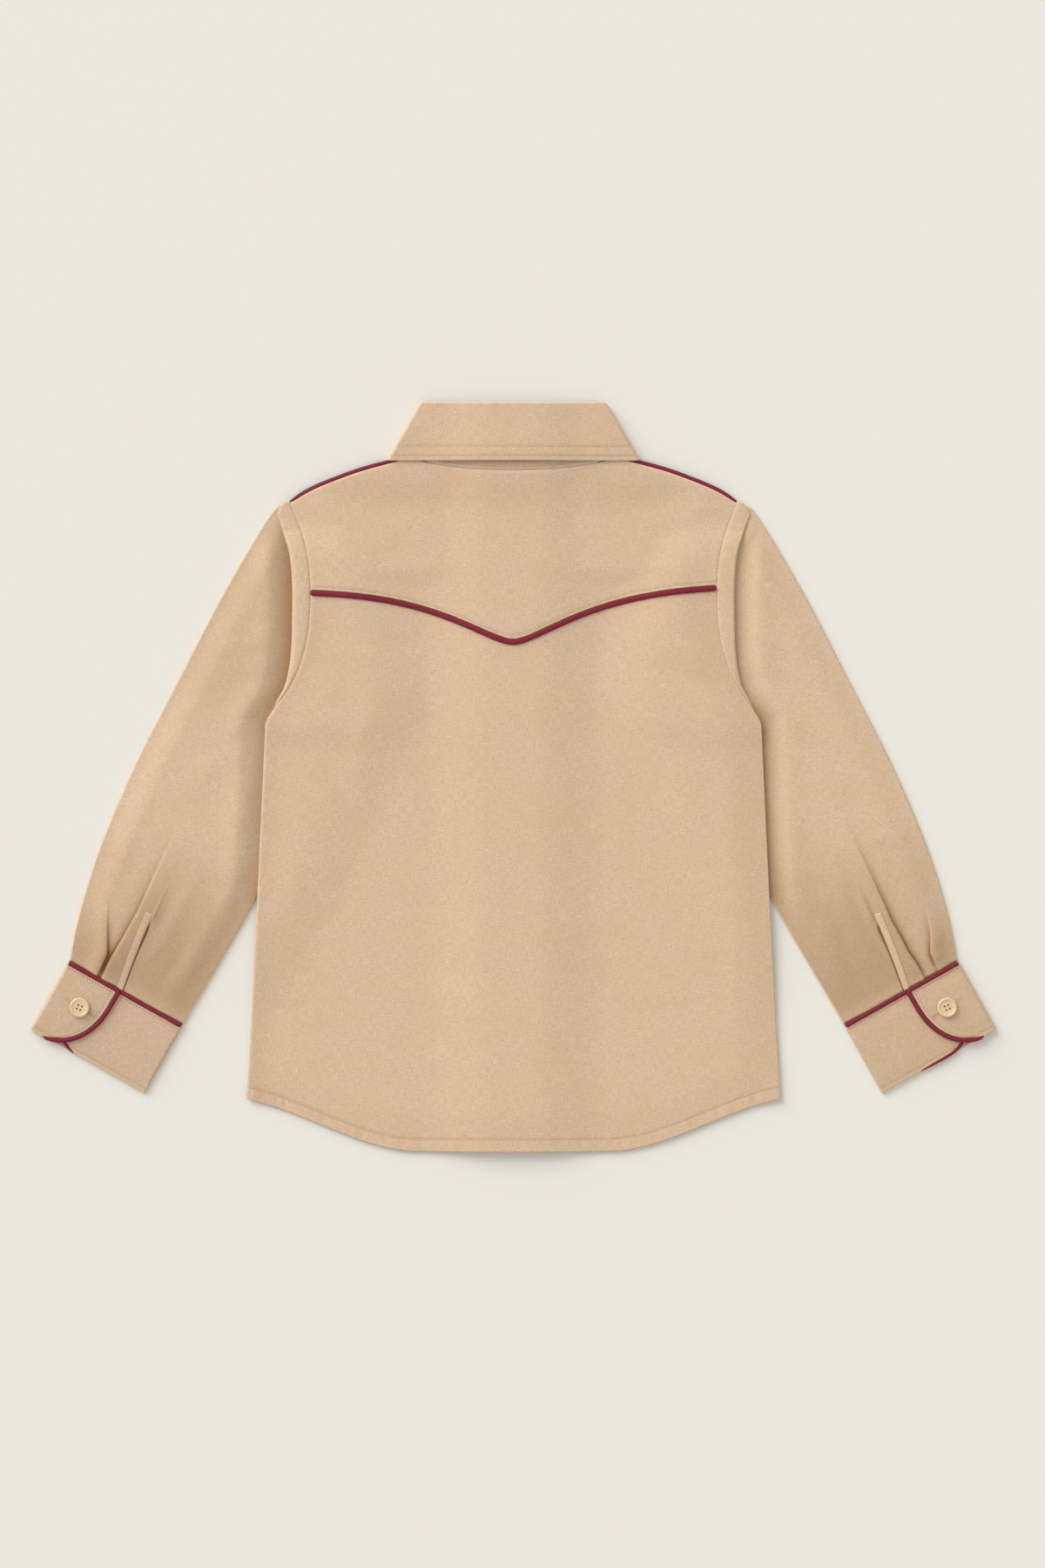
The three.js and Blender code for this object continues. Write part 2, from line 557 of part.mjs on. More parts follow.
// The collar's leaf: half of it lies on the back, and its two front halves lie under the fronts.
// start is at the right front edge, and the rows run from the fold to the free edge.
function leaf() {
  const { topHalf, topY, lowHalf, lowY } = COLLAR;
  const { tipA, tipY } = COLLAR_FRONT;
  const frontAt = (t, v) => {
    const topX = mix(COLLAR_FRONT.meetA, topHalf, t);
    const x = mix(topX, mix(tipA, lowHalf, t), v);
    return point(x, mix(collarFoldFront(topX), mix(tipY, lowY, t), v), HALF);
  };
  const backAt = (t, v) => {
    const x = mix(mix(topHalf, -topHalf, t), mix(lowHalf, -lowHalf, t), v);
    const y = mix(topY, lowY, v);
    return point(x, y, backLevel(x, y) + LAYER + HALF);
  };
  const rows = [0, 0.2, 0.4, 0.6, 0.8, 1].map((v) => {
    const back = [0.01, 0.1, 0.2, 0.32, 0.44, 0.56, 0.68, 0.8, 0.9, 0.99].map((t) => backAt(t, v));
    const right = [0, 0.25, 0.5, 0.75, 0.98].map((t) => frontAt(t, v));
    const left = right.map((p) => point(-p.x, p.y, p.z)).reverse();
    return looped(right, back, left, 0.8 * v);
  });
  return wall(rows, CLOTH);
}

// A row that goes from the right front round the side to the back, and round to the left front.
// rise is how far the turns at the sides lie above the ends that they join.
function looped(front, back, leftFront, rise) {
  const around = (from, to, sign) =>
    [0.2, 0.5, 0.8].map((t) => {
      const swell = Math.sin(Math.PI * t);
      const x = mix(from.x, to.x, t) + sign * (1.4 * swell + 0.2);
      return point(x, mix(from.y, to.y, t) + rise * swell, mix(from.z, to.z, t));
    });
  const [last, first] = [front[front.length - 1], leftFront[0]];
  const right = around(last, back[0], 1);
  const left = around(back[back.length - 1], first, -1);
  return [...front, ...right, ...back, ...left, ...leftFront];
}

// The collar's stand: a band round the neck, whose ends lie over each other at the front
function stand() {
  const topAt = (x, low) => (low ? collarFoldFront(x) : COLLAR.topY) - STAND.topDrop;
  const lowAt = (x, drop) => neckline(x, drop) - INSET + GAP + smooth((Math.abs(x) - 56) / 10);
  const place = (top, low, v, front, level) => {
    const x = mix(top, low, v);
    const y = mix(topAt(top, front), lowAt(low, front ? NECK_FRONT_DROP : NECK_BACK_DROP), v);
    return point(x, y, level(x, y) + HALF);
  };
  const half = (sign, rise, ts, v) =>
    ts.map((t) => {
      const top = sign * mix(-STAND.overlap, STAND.topHalf, t);
      const low = sign * mix(-STAND.overlap, STAND.lowHalf, t);
      return place(top, low, v, true, (x, y) => frontLevel(x, y, rise));
    });
  const span = STAND.lowHalf + STAND.overlap;
  const sharesTo = (edge) =>
    NECK_SHARES.map((t) => Math.min(0.985, (mix(NECK_POINT.a, edge, t) + STAND.overlap) / span)).reverse();
  const rightShares = sharesTo(-STAND.overlap);
  const leftShares = [0, ...sharesTo(PLACKET_WIDTH / 2 + GAP)];
  const rows = [0, 0.33, 0.67, 1].map((v) => {
    const back = [0.015, ...evenly(10).slice(1, -1), 0.985].map((t) => {
      const low = THREE.MathUtils.clamp(NECK_POINT.a * (1 - 2 * t), -STAND.lowHalf, STAND.lowHalf);
      return place(STAND.topHalf * (1 - 2 * t), low, v, false, backLevel);
    });
    const right = half(1, CENTRE.right, rightShares, v);
    const left = half(-1, CENTRE.left, leftShares, v).reverse();
    return looped(right, back, left, 1.8 * v);
  });
  return wall(rows, CLOTH);
}

// A dished button with four holes, its back at z = 0
function button(sides) {
  const { radius, height, rim, dish, hole, holesAt } = BUTTON;
  const profile = [
    [0, 0], [radius - 0.5, 0], [radius, 0.5], [radius, height - 0.5], [radius - 0.4, height],
    [radius - rim, height], [radius - rim - 0.5, height - dish], [0, height - dish],
  ].map(([r, z]) => new THREE.Vector2(r, z));
  const disc = new THREE.LatheGeometry(profile, sides).rotateX(Math.PI / 2);
  let body = solidOf(disc);
  for (const [x, y] of [[1, 0], [0, 1], [-1, 0], [0, -1]]) {
    const bore = new THREE.CylinderGeometry(hole, hole, height * 3, 6).rotateX(Math.PI / 2);
    body = body.subtract(solidOf(bore.translate(x * holesAt, y * holesAt, 0)));
  }
  return geometryOf(body);
}
function cuffButton(side) {
  const place = cuffPlace(CUFF_BUTTON.p, CUFF_BUTTON.v, CUFF_Z.flap + CUFF.wall / 2 + GAP);
  return button(18).rotateZ(side * 1.2).translate(side * place.x, place.y, place.z);
}
const frontButton = (y) => button(12).rotateX(Math.PI).rotateZ(Math.PI / 4).translate(0, y, BUTTON.height);

// Materials and the whole shirt
const materials = {
  cloth: { color: 0xd2b38f, roughness: 0.9 },
  cuff_cloth: { color: 0xcbae8e, roughness: 0.9 },
  piping: { color: 0x7d2238, roughness: 0.7 },
  button: { color: 0xe2c89d, roughness: 0.35 },
};
const shirt = new THREE.Group();
shirt.name = "western_shirt";
function add(name, geometry, slot) {
  const bare = geometry.index ? geometry.toNonIndexed() : geometry;
  bare.computeVertexNormals();
  const material = new THREE.MeshStandardMaterial({ ...materials[slot], name: slot });
  const mesh = new THREE.Mesh(bare, material);
  mesh.name = name;
  shirt.add(mesh);
}

add("back_panel", backPanel(), "cloth");
add("back_yoke", yoke(), "cloth");
add("front_placket", placket(), "cloth");
add("collar_leaf", leaf(), "cloth");
add("collar_stand", stand(), "cloth");
add("yoke_piping", yokePiping(), "piping");
for (const [name, side] of [["left", -1], ["right", 1]]) {
  const pleats = PLEATS[name];
  add(`front_${name}`, front(side), "cloth");
  add(`sleeve_${name}`, sleeve(side, pleats), "cloth");
  add(`sleeve_placket_${name}`, sleevePlacket(side, pleats), "cloth");
  add(`cuff_${name}`, cuff(side), "cuff_cloth");
  add(`shoulder_piping_${name}`, shoulderPiping(side), "piping");
  add(`cuff_flap_piping_${name}`, flapPiping(side), "piping");
  add(`cuff_band_piping_${name}`, bandPiping(side), "piping");
  add(`cuff_underlap_piping_${name}`, underlapPiping(side), "piping");
  add(`cuff_button_${name}`, cuffButton(side), "button");
}
add("collar_button", frontButton(172.5), "button");
for (let i = 0; i < BUTTON_ROWS.count; i++)
  add(`front_button_${i + 1}`, frontButton(BUTTON_ROWS.first - i * BUTTON_ROWS.step), "button");

export default shirt;
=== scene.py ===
"""A child's western shirt, buttoned up and laid face down on a table: its cloth, sewing, piping and buttons.

Sizes are in millimetres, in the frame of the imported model. The back is up (+Z), the collar points to +Y and
the wearer's left arm to -X. Each cloth piece is a thin shell on the middle of its solid's wall.
"""
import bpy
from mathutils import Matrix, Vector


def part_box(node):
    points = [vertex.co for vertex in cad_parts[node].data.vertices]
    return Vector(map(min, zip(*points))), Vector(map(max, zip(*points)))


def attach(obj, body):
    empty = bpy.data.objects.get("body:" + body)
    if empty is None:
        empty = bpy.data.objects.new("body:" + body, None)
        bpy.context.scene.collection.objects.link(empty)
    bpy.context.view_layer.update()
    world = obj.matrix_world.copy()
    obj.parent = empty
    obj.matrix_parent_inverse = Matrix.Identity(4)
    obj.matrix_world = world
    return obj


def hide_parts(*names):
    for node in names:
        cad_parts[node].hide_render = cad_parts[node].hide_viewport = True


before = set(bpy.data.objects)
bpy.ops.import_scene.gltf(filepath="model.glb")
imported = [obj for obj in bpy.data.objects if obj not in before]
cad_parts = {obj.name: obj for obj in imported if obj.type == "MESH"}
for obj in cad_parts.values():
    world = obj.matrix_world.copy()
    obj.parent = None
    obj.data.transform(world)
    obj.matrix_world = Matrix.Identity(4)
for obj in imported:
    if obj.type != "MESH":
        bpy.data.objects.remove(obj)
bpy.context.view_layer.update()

from types import SimpleNamespace as Sizes

import bmesh
import bpy
import numpy as np
from mathutils import Matrix

# Sizes
MM = 0.001
CLOTH = 1.0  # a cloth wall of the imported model
GAP = 0.3
SEAM = 0.06  # half of the gap between pieces that are sewn together
LAYER = CLOTH + GAP
HALF = CLOTH / 2
SHELL = 0.8  # the cloth's thickness here
SKIN = SHELL / 2
PIPING = Sizes(width=4.2, height=1.8)
SHOULDER_CORD = Sizes(width=3.1, height=2.3)
CUFF_CORD = Sizes(width=3.5, height=2.0)
UNDERLAP_CORD = Sizes(width=2.4, height=1.6)
INSET = 1.45  # how far a panel stops short of the shoulder line
BUTTON = Sizes(radius=6.8, height=2.2, rim=1.5, dish=0.55, hole=0.72, holes_at=1.85)
PLACKET_WIDTH = 25
BUTTON_ROWS = Sizes(first=128, step=64, count=6)
CUFF = Sizes(width=89.5, height=50.5, wall=1.2, underlap=46, tilt=29.3)
CUFF_END = Sizes(start=8, reach=39.9, drop=43.9, power=2.3)  # the curve of a cuff's two ends
CUFF_SEWN = Sizes(top=0.7, hem=3, end=3)  # how far its stitching lies from its top, its hem and its end
CUFF_CORNER = Sizes(a=308.2, y=-130)
CUFF_BUTTON = Sizes(p=22, v=20.8)
BUTTONHOLE = Sizes(length=24, apart=0.5, turn=3)
SLIT = Sizes(length=48, binding=4, at=42.4, cut=0.7)
CROWN = 2.6
BODY_PUFF = 1.2
CENTRE = Sizes(flat=14, ramp=50, right=3.8, left=2.5)
SHOULDER_TIP = Sizes(a=154.9, y=189.6)
NECK_POINT = Sizes(a=72, y=222)
NECK_BACK_DROP = 9.2
NECK_FRONT_DROP = 61
YOKE = Sizes(drop=35.5, decay=3, power=1.32, round=3, end_y=128.7, half_width=140.2, slope=0.0118)
HEM = Sizes(side=184.2, side_y=-222.3, drop=36.2, flat=0.36, turn=7.4)
FRONT_HEM_RISE = 6
COLLAR = Sizes(top_y=258.3, top_half=63.9, low_y=218.2, low_half=86.6, roll=0.65)
LEAF_ROWS = (3.2, 9.7)  # how far the leaf's two rows of stitches lie from its free edge
COLLAR_FRONT = Sizes(meet_a=5, meet_y=189, tip_a=43, tip_y=151)
STAND = Sizes(top_half=59.5, low_half=70.6, top_drop=1.8, overlap=12)
TUBE = Sizes(low=0.5, high=1.8, side=1.15, edge=0.65, start=0.005, length=350)
PLEAT = Sizes(depth=2.8, fold=3.0, over=1.2)  # a pleat's height, and its folded edge's width and overhang
VALLEY = Sizes(width=18, bank=0.9)  # where a sleeve dips to the body: its width, and the swell beside it
SLEEVE_COLUMNS = (0, 14, 26, 34, 46, 53, 61, 103)  # which of its columns lie on the folds' and slit's edges
TUCK = 1.3  # how far a sleeve's end goes in beneath its cuff's piping
STITCH = Sizes(pitch=2.3, length=1.75, thread=0.42)

# The seams and folds, as their distance from the centre line (a) and their height (y)
A, Y = 0, 1
SIDES = {"left": -1, "right": 1}  # the wearer's, as the sign of x
ARMHOLE = [
    (154.9, 189.6), (147.6, 173), (142.6, 156), (140.1, 134), (140.3, 114.5),
    (142.4, 95), (147.8, 75.5), (154.3, 62.3), (163.4, 49.4), (171, 37.5),
]
SIDE_SEAM = [(177, -90), (181.2, -170), (184.2, -222.3)]
ARMHOLE_FOLD = [
    (160.2, 188.4), (163.4, 183), (162, 178.4), (158.2, 166.4), (154.6, 153.4), (152.8, 133.8),
    (152.8, 107.8), (153.4, 88.3), (155.6, 71.3), (158.6, 60.9), (164.6, 50.7), (171, 41),
]
FOLD_REACH = [(5, 188), (8, 150), (20, 110), (17, 75), (5, 41)]  # how far it reaches back, at a height
SLEEVE_OUTER = [
    (161.4, 188.4), (168.4, 179.6), (199.8, 126.9), (231, 66.9), (261.6, 6.9), (286.8, -53.1),
    (301.2, -101.1), (305.9, -125.8),
]
SLEEVE_INNER = [
    (155.4, 187.6), (146.2, 166), (131, 125), (119, 82), (117, 52), (137, 4), (160, -46),
    (180.6, -88), (227.8, -169.6),
]
SHOULDER = [(154.9, 189.6), (140.6, 198.2), (120.7, 206.6), (103.6, 212.6), (87.6, 217), (72, 221.6)]

# The two pleats above each cuff. Each fold lies p from the sleeve's outer edge at a distance up the sleeve.
# toward is the side that its edge hangs over, and reach how far the raised cloth goes back from it.
PLEATS = {
    "left": [
        Sizes(up=[0, 16, 32, 48], p=[21.5, 23.8, 19.3, 15], fade=56, toward=1, reach=12),
        Sizes(up=[0, 30, 51, 115], p=[25.5, 31, 33.4, 35], fade=120, toward=-1, reach=18),
    ],
    "right": [
        Sizes(up=[0, 13, 26, 40], p=[14.6, 16.6, 13.2, 12], fade=50, toward=1, reach=12),
        Sizes(up=[0, 21, 44, 128], p=[26, 31.5, 34.3, 35], fade=132, toward=-1, reach=18),
    ],
}

# How much painted shade darkens a sleeve where it dips to its cap's fold and to the body, and on its upper
# part
SLEEVE_PAINTED_SHADE = {"left": Sizes(cap=0.58, side=0.45, upper=0.1), "right": Sizes(cap=0.2, side=0.5, upper=0)}

# The sleeve's top edge past the shoulder seam's end
SHOULDER_END = np.array([(154.5, 190.2), (157.5, 189.4), (160.5, 187), (163.6, 183.9)])

# Soft creases: from (x, y) to (x, y), how wide each is, and how high a ridge or how deep a trough
BACK_CREASES = [
    (-136, 106, -52, 88, 9, -0.37), (-128, 92, -84, 82, 6, 0.24), (72, 84, 156, 64, 7, -0.34),
    (96, 96, 150, 84, 6, 0.27), (-150, 58, -112, 46, 6, -0.27), (-168, 28, -122, 22, 5, -0.24),
    (-108, 73, -115, -62, 10, -0.27), (-94, 66, -100, -40, 8, 0.2), (128, 40, 118, -70, 11, 0.27),
    (146, 20, 138, -84, 9, -0.24), (-60, 20, 44, 2, 13, -0.2), (-172, -60, -96, -52, 6, 0.2),
    (100, -60, 172, -58, 4, -0.2), (-176, -158, -128, -156, 4, -0.2), (-90, -118, 20, -134, 12, -0.27),
    (-40, -104, 96, -92, 14, 0.24), (60, -168, 152, -150, 10, -0.24), (-150, -196, -60, -214, 8, -0.27),
    (-20, 70, -34, -30, 14, 0.2), (52, 54, 40, -20, 12, -0.2), (110, -120, 176, -104, 7, 0.2),
    (-176, 4, -136, -14, 6, 0.24), (20, -200, 110, -214, 9, 0.2), (-24, 40, 30, 60, 16, 0.17),
]
YOKE_CREASES = [
    (-128, 196, -66, 190, 9, -0.48), (-60, 208, -20, 200, 7, -0.28), (66, 190, 130, 196, 9, -0.48),
    (-142, 172, -96, 158, 7, -0.32), (-92, 164, -50, 150, 8, -0.32), (92, 170, 134, 160, 7, -0.32),
    (-30, 176, 46, 170, 14, -0.2), (-118, 148, -70, 140, 6, 0.24), (64, 150, 126, 142, 7, 0.24),
    (10, 160, 60, 138, 10, 0.2), (20, 204, 62, 206, 6, -0.28),
]
FRONT_CREASES = [
    (30, 120, 120, 96, 10, -0.3), (60, 60, 160, 40, 8, -0.3), (40, 0, 130, -30, 11, 0.25),
    (70, -70, 168, -84, 9, -0.3), (30, -130, 110, -150, 10, -0.3), (60, -180, 160, -196, 8, 0.2),
]
# On a sleeve: from (share of the width, distance up) to the same
SLEEVE_CREASES = [
    (0.52, 8, 0.6, 96, 5, 0.55), (0.7, 4, 0.72, 60, 5, -0.45), (0.84, 10, 0.8, 70, 5, 0.4),
    (0.12, 30, 0.2, 120, 5, -0.35), (0.3, 120, 0.42, 210, 9, 0.5), (0.55, 130, 0.5, 220, 9, -0.45),
    (0.1, 150, 0.62, 196, 7, -0.35), (0.2, 214, 0.7, 236, 7, -0.4), (0.08, 236, 0.55, 262, 6, 0.35),
    (0.72, 110, 0.66, 190, 7, 0.35), (0.05, 92, 0.34, 104, 5, 0.25), (0.6, 82, 0.95, 96, 5, -0.3),
]


# Small maths
def smooth(t):
    t = np.clip(t, 0, 1)
    return t * t * (3 - 2 * t)


def mix(a, b, t):
    return a + (b - a) * t


def soft_max(*values):
    return sum(np.maximum(value, 0) ** 4 for value in values) ** 0.25


def dip(distance, width):
    """A soft groove's depth, from 1 on its line to 0 well beside it."""
    return np.exp(-((distance / width) ** 2))


def shares(count, crowd=0.0):
    """Shares from 0 to 1, crowded towards both ends."""
    t = np.linspace(0, 1, count)
    return t - crowd * np.sin(2 * np.pi * t) / (2 * np.pi)


def on_grid(*parts):
    """Points from their coordinates, each a grid, a row, a column or a number."""
    return np.stack(np.broadcast_arrays(*parts), axis=-1).astype(float)


def unit(vectors):
    return vectors / np.linalg.norm(vectors, axis=-1, keepdims=True)


def run_along(points):
    """How far along a line each of its points lies."""
    return np.concatenate([[0], np.cumsum(np.linalg.norm(np.diff(points, axis=0), axis=1))])


def spaced(points, count, start=0.0):
    """Points at even distances along a line, from a distance along it."""
    run = run_along(points)
    at = np.linspace(start, run[-1], count)
    return on_grid(*(np.interp(at, run, column) for column in points.T))


def curve_through(knots, count=81):
    """A smooth curve through the knots, as evenly spaced points."""
    knots = np.array(knots, float)
    ends = np.vstack([2 * knots[0] - knots[1], knots, 2 * knots[-1] - knots[-2]])
    t = np.linspace(0, 1, 30, endpoint=False)[:, None]
    runs = []
    for before, start, end, after in zip(ends, ends[1:], ends[2:], ends[3:]):
        near, mid, far = (np.linalg.norm(d) ** 0.5 for d in (start - before, end - start, after - end))
        leave = ((start - before) / near - (end - before) / (near + mid) + (end - start) / mid) * mid
        arrive = ((end - start) / mid - (after - start) / (mid + far) + (after - end) / far) * mid
        cubic = 2 * (start - end) + leave + arrive
        runs.append(start + leave * t + (3 * (end - start) - 2 * leave - arrive) * t**2 + cubic * t**3)
    return spaced(np.vstack([*runs, knots[-1:]]), count)


def reader(line, key, value):
    """A function that reads one column of a line's points from another."""
    line = np.array(line, float)
    order = np.argsort(line[:, key])
    return lambda at: np.interp(at, line[order, key], line[order, value])


armhole_line = curve_through(ARMHOLE)
outer_line = curve_through(SLEEVE_OUTER)
inner_line = curve_through(SLEEVE_INNER)
shoulder_line = curve_through(SHOULDER)
armhole_at = reader(armhole_line, Y, A)
fold_at = reader(curve_through(ARMHOLE_FOLD), Y, A)
side_at = reader(np.vstack([armhole_line, SIDE_SEAM]), Y, A)
sleeve_inner_at = reader(inner_line, Y, A)
shoulder_at = reader(shoulder_line, A, Y)
reach_at = reader(FOLD_REACH, Y, A)


# Edges and levels of the body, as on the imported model
def yoke_edge(x):
    u = (np.hypot(x, YOKE.round) - YOKE.round) / (YOKE.half_width - YOKE.round)
    tail = np.exp(-YOKE.decay)
    fall = (np.exp(-YOKE.decay * u**YOKE.power) - tail) / (1 - tail)
    return YOKE.end_y + YOKE.slope * x - YOKE.drop * fall


def neckline(x, drop):
    u = np.minimum(1, np.abs(x) / NECK_POINT.a)
    return NECK_POINT.y - drop * (1 - u**2.4)


def collar_fold_front(x):
    t = (np.abs(x) - COLLAR_FRONT.meet_a) / (COLLAR.top_half - COLLAR_FRONT.meet_a)
    return mix(COLLAR_FRONT.meet_y, COLLAR.top_y, np.maximum(0, t) ** 1.15)


def hem_edge(x):
    u = np.abs(x) / HEM.side
    t = np.maximum(0, (u - HEM.flat) / (1 - HEM.flat))
    return HEM.side_y - HEM.drop * (1 - 0.06 * u * u - 0.94 * (0.72 * smooth(t) + 0.28 * t * t))


def top_edge(x, neck_drop):
    a = np.abs(x)
    return np.where(a > NECK_POINT.a, shoulder_at(a), neckline(x, neck_drop)) - INSET


def sleeve_lift(x, y, ramp):
    tube = 2 * LAYER * smooth((186 - y) / 30)
    fold = LAYER * smooth((182 - y) / 34) * (1 - smooth((40 - y) / 25))
    full = np.where(y > 160, armhole_at(y), sleeve_inner_at(y)) - 15
    return (tube + fold) * smooth((np.abs(x) - full + ramp) / ramp)


def front_level(x, y, rise, ramp=26):
    centre = rise * (1 - smooth((np.abs(x) - CENTRE.flat) / CENTRE.ramp))
    return soft_max(sleeve_lift(x, y, ramp), LAYER * smooth((y - 128) / 18), centre)


def back_level(x, y):
    """The lower side of the back's cloth, which bridges the step that the sleeves make beneath it."""
    inside = smooth((side_at(y) - np.abs(x)) / 30) * smooth((y - hem_edge(x)) / 30)
    return front_level(x, y, CENTRE.right, 50) + LAYER + BODY_PUFF * inside


def creased(creases, x, y):
    """The height that soft creases add at points of a cloth."""
    total = np.zeros(np.broadcast(x, y).shape)
    for x0, y0, x1, y1, width, height in creases:
        run = np.hypot(x1 - x0, y1 - y0)
        along = ((x - x0) * (x1 - x0) + (y - y0) * (y1 - y0)) / run**2
        across = ((x - x0) * (y1 - y0) - (y - y0) * (x1 - x0)) / run
        bend = 0.06 * run * np.sin(np.pi * along)
        total += height * dip(across - bend, width) * smooth((0.5 - np.abs(along - 0.5)) / 0.35)
    return total


def ripple(along, wave, seed):
    """Uneven small puckers along a seam, from -1 to 1."""
    slow = np.sin(2 * np.pi * along / (wave * 2.7) + seed)
    return np.sin(2 * np.pi * along / wave + 1.7 * slow + seed * 2.3) * (0.6 + 0.4 * slow)


# Node trees
class Socket:
    """The output of a node. Arithmetic on it adds Math nodes."""

    def __init__(self, nodes, socket):
        self.nodes = nodes
        self.socket = socket

    def maths(self, operation, *values, **settings):
        settings["operation"] = operation
        return self.nodes.node("ShaderNodeMath", dict(enumerate(values)), settings)

    def other(self, name):
        return Socket(self.nodes, self.socket.node.outputs[name])

    def __add__(self, value):
        return self.maths("ADD", self, value)

    def __sub__(self, value):
        return self.maths("SUBTRACT", self, value)

    def __mul__(self, value):
        return self.maths("MULTIPLY", self, value)

    def sine(self):
        return self.maths("SINE", self)

    def clamped(self):
        return self.maths("ADD", self, 0.0, use_clamp=True)


class Nodes:
    """A node tree. Any node comes from node(), which sets its settings first and its sockets after."""

    def __init__(self, tree):
        self.tree = tree

    def node(self, kind, sockets=None, settings=None, output=0):
        made = self.tree.nodes.new(kind)
        for name, value in (settings or {}).items():
            setattr(made, name, value)
        for name, value in (sockets or {}).items():
            if isinstance(value, Socket):
                self.tree.links.new(value.socket, made.inputs[name])
            else:
                made.inputs[name].default_value = value
        return Socket(self, made.outputs[output]) if made.outputs else None


def colour(values):
    """A colour for a socket, from its red, green and blue on a screen, 0 to 255."""
    return (*(float(((c / 255 + 0.055) / 1.055) ** 2.4) for c in values), 1)


class Finish(Nodes):
    """A material with one Principled shader."""

    def __init__(self, name, roughness, **constants):
        self.material = bpy.data.materials.new(name)
        self.material.use_nodes = True
        super().__init__(self.material.node_tree)
        self.tree.nodes.clear()
        self.shader = self.node("ShaderNodeBsdfPrincipled", {"Roughness": roughness, **constants})
        self.node("ShaderNodeOutputMaterial", {"Surface": self.shader})

    def link(self, name, value):
        self.tree.links.new(value.socket, self.shader.socket.node.inputs[name])

    def place(self):
        return self.node("ShaderNodeTexCoord", output="Object")

    # The tone attribute, which carries painted light and shade on the cloth and the piping.
    def tone(self):
        return self.node("ShaderNodeAttribute", settings={"attribute_name": "tone"}, output="Fac")

    def grain(self):
        """Where a point lies on the flat cloth, in millimetres."""
        return self.scaled(self.node("ShaderNodeUVMap", settings={"uv_map": "grain"}), 1 / MM, 1 / MM)

    def scaled(self, vector, x, y, z=1.0):
        return self.node("ShaderNodeVectorMath", {0: vector, 1: (x, y, z)}, {"operation": "MULTIPLY"})

    def noise(self, vector, scale, detail=2.0, distortion=0.0):
        """Noise from 0 to 1. The scale says how many features fit in one unit along each axis."""
        vector = self.scaled(vector, *scale)
        sockets = {"Vector": vector, "Scale": 1.0, "Detail": detail, "Distortion": distortion}
        return self.node("ShaderNodeTexNoise", sockets)

    def blend(self, first, second, factor):
        """A mix of two colours, each a socket or its red, green and blue on a screen."""
        first, second = (colour(given) if isinstance(given, tuple) else given for given in (first, second))
        return self.node("ShaderNodeMix", {0: factor, 6: first, 7: second}, {"data_type": "RGBA"}, 2)

    def tint(self, first, second, factor):
        self.link("Base Color", self.blend(first, second, factor))

    def bump(self, height, distance, strength=1.0):
        sockets = {"Height": height, "Distance": distance * MM, "Strength": strength}
        self.link("Normal", self.node("ShaderNodeBump", sockets))


def woven(name, light, dark, cloud_colour, cloud_share):
    """Heathered plain weave: thick and thin threads both ways, and soft tinted clouds.

    The tone attribute paints light and shade. Where it is above 0 the cloth is paler: painted highlights on
    turned edges, folds and beside pipings, with some edge wear. Where it is below 0 it is deeper: painted
    shade in valleys, pleats, grooves and seams.
    """
    finish = Finish(name, 0.92, **{"Sheen Weight": 0.1, "Sheen Roughness": 0.5, "Specular IOR Level": 0.2})
    grain = finish.grain()
    warp = finish.noise(grain, (1.5, 0.2))
    weft = finish.noise(grain, (0.19, 1.5))
    fleck = finish.noise(grain, (0.9, 0.85))
    cloud = finish.noise(grain, (0.07, 0.08), 3.0)
    drift = finish.noise(grain, (0.018, 0.02), 1.0)
    threads = ((warp - 0.5) * 1.3 + (weft - 0.5) * 1.3 + (fleck - 0.5) * 1.5 + 0.5).clamped()
    mask = ((cloud - 0.5) * 2.6 + (drift - 0.5) * 1.6 + 0.3).clamped() * cloud_share
    ground = finish.blend(finish.blend(dark, light, threads), cloud_colour, mask)
    tone = finish.tone()
    # Painted light and shade: the tone blends towards the highlight colour above 0 and towards the shade
    # colour below it.
    finish.tint(finish.blend(ground, PAINTED_HIGHLIGHT_AND_WEAR, tone.clamped()), PAINTED_SHADE, (tone * -1.0).clamped())
    turns = 2 * np.pi / THREAD_PITCH
    across = finish.node("ShaderNodeSeparateXYZ", {0: finish.scaled(grain, turns, turns)})
    weave = across.sine() * across.other("Y").sine()
    finish.bump(weave * 0.3 + (warp + weft) * 0.9 + fleck * 0.5, 0.1)
    return finish.material


def bias_tape():
    """Piping: a fine satin cut on the bias, with a painted highlight along its top and painted shade along
    its lower side, from the tone attribute.
    """
    finish = Finish("piping_satin", 0.6, **{"Sheen Weight": 0.04, "Specular IOR Level": 0.3})
    grain = finish.grain()
    parts = finish.node("ShaderNodeSeparateXYZ", {0: grain})
    slant = ((parts + parts.other("Y")) * (2 * np.pi / 0.7)).sine()
    slub = finish.noise(grain, (1.2, 0.9))
    cloud = finish.noise(grain, (0.12, 0.12), 1.0)
    # Painted highlight and shade: the tone attribute lifts the cord's top towards the lighter satin colour
    # and leaves its lower side dark.
    tone = (finish.tone() * 0.75 + slub * 0.3 + cloud * 0.25 + slant * 0.04 - 0.2).clamped()
    finish.tint((72, 8, 24), (142, 28, 50), tone)
    finish.bump(slant * 0.25 + slub, 0.1)
    return finish.material


def horn():
    """Cream buttons with faint darker clouds, polished."""
    finish = Finish("button_cream", 0.34)
    cloud = finish.noise(finish.place(), (160.0, 420.0, 300.0), 2.0, 1.2)
    finish.tint((214, 184, 140), (234, 210, 170), ((cloud - 0.5) * 1.2 + 0.5).clamped())
    finish.link("Roughness", cloud * 0.2 + 0.26)
    finish.bump(cloud, 0.03)
    return finish.material


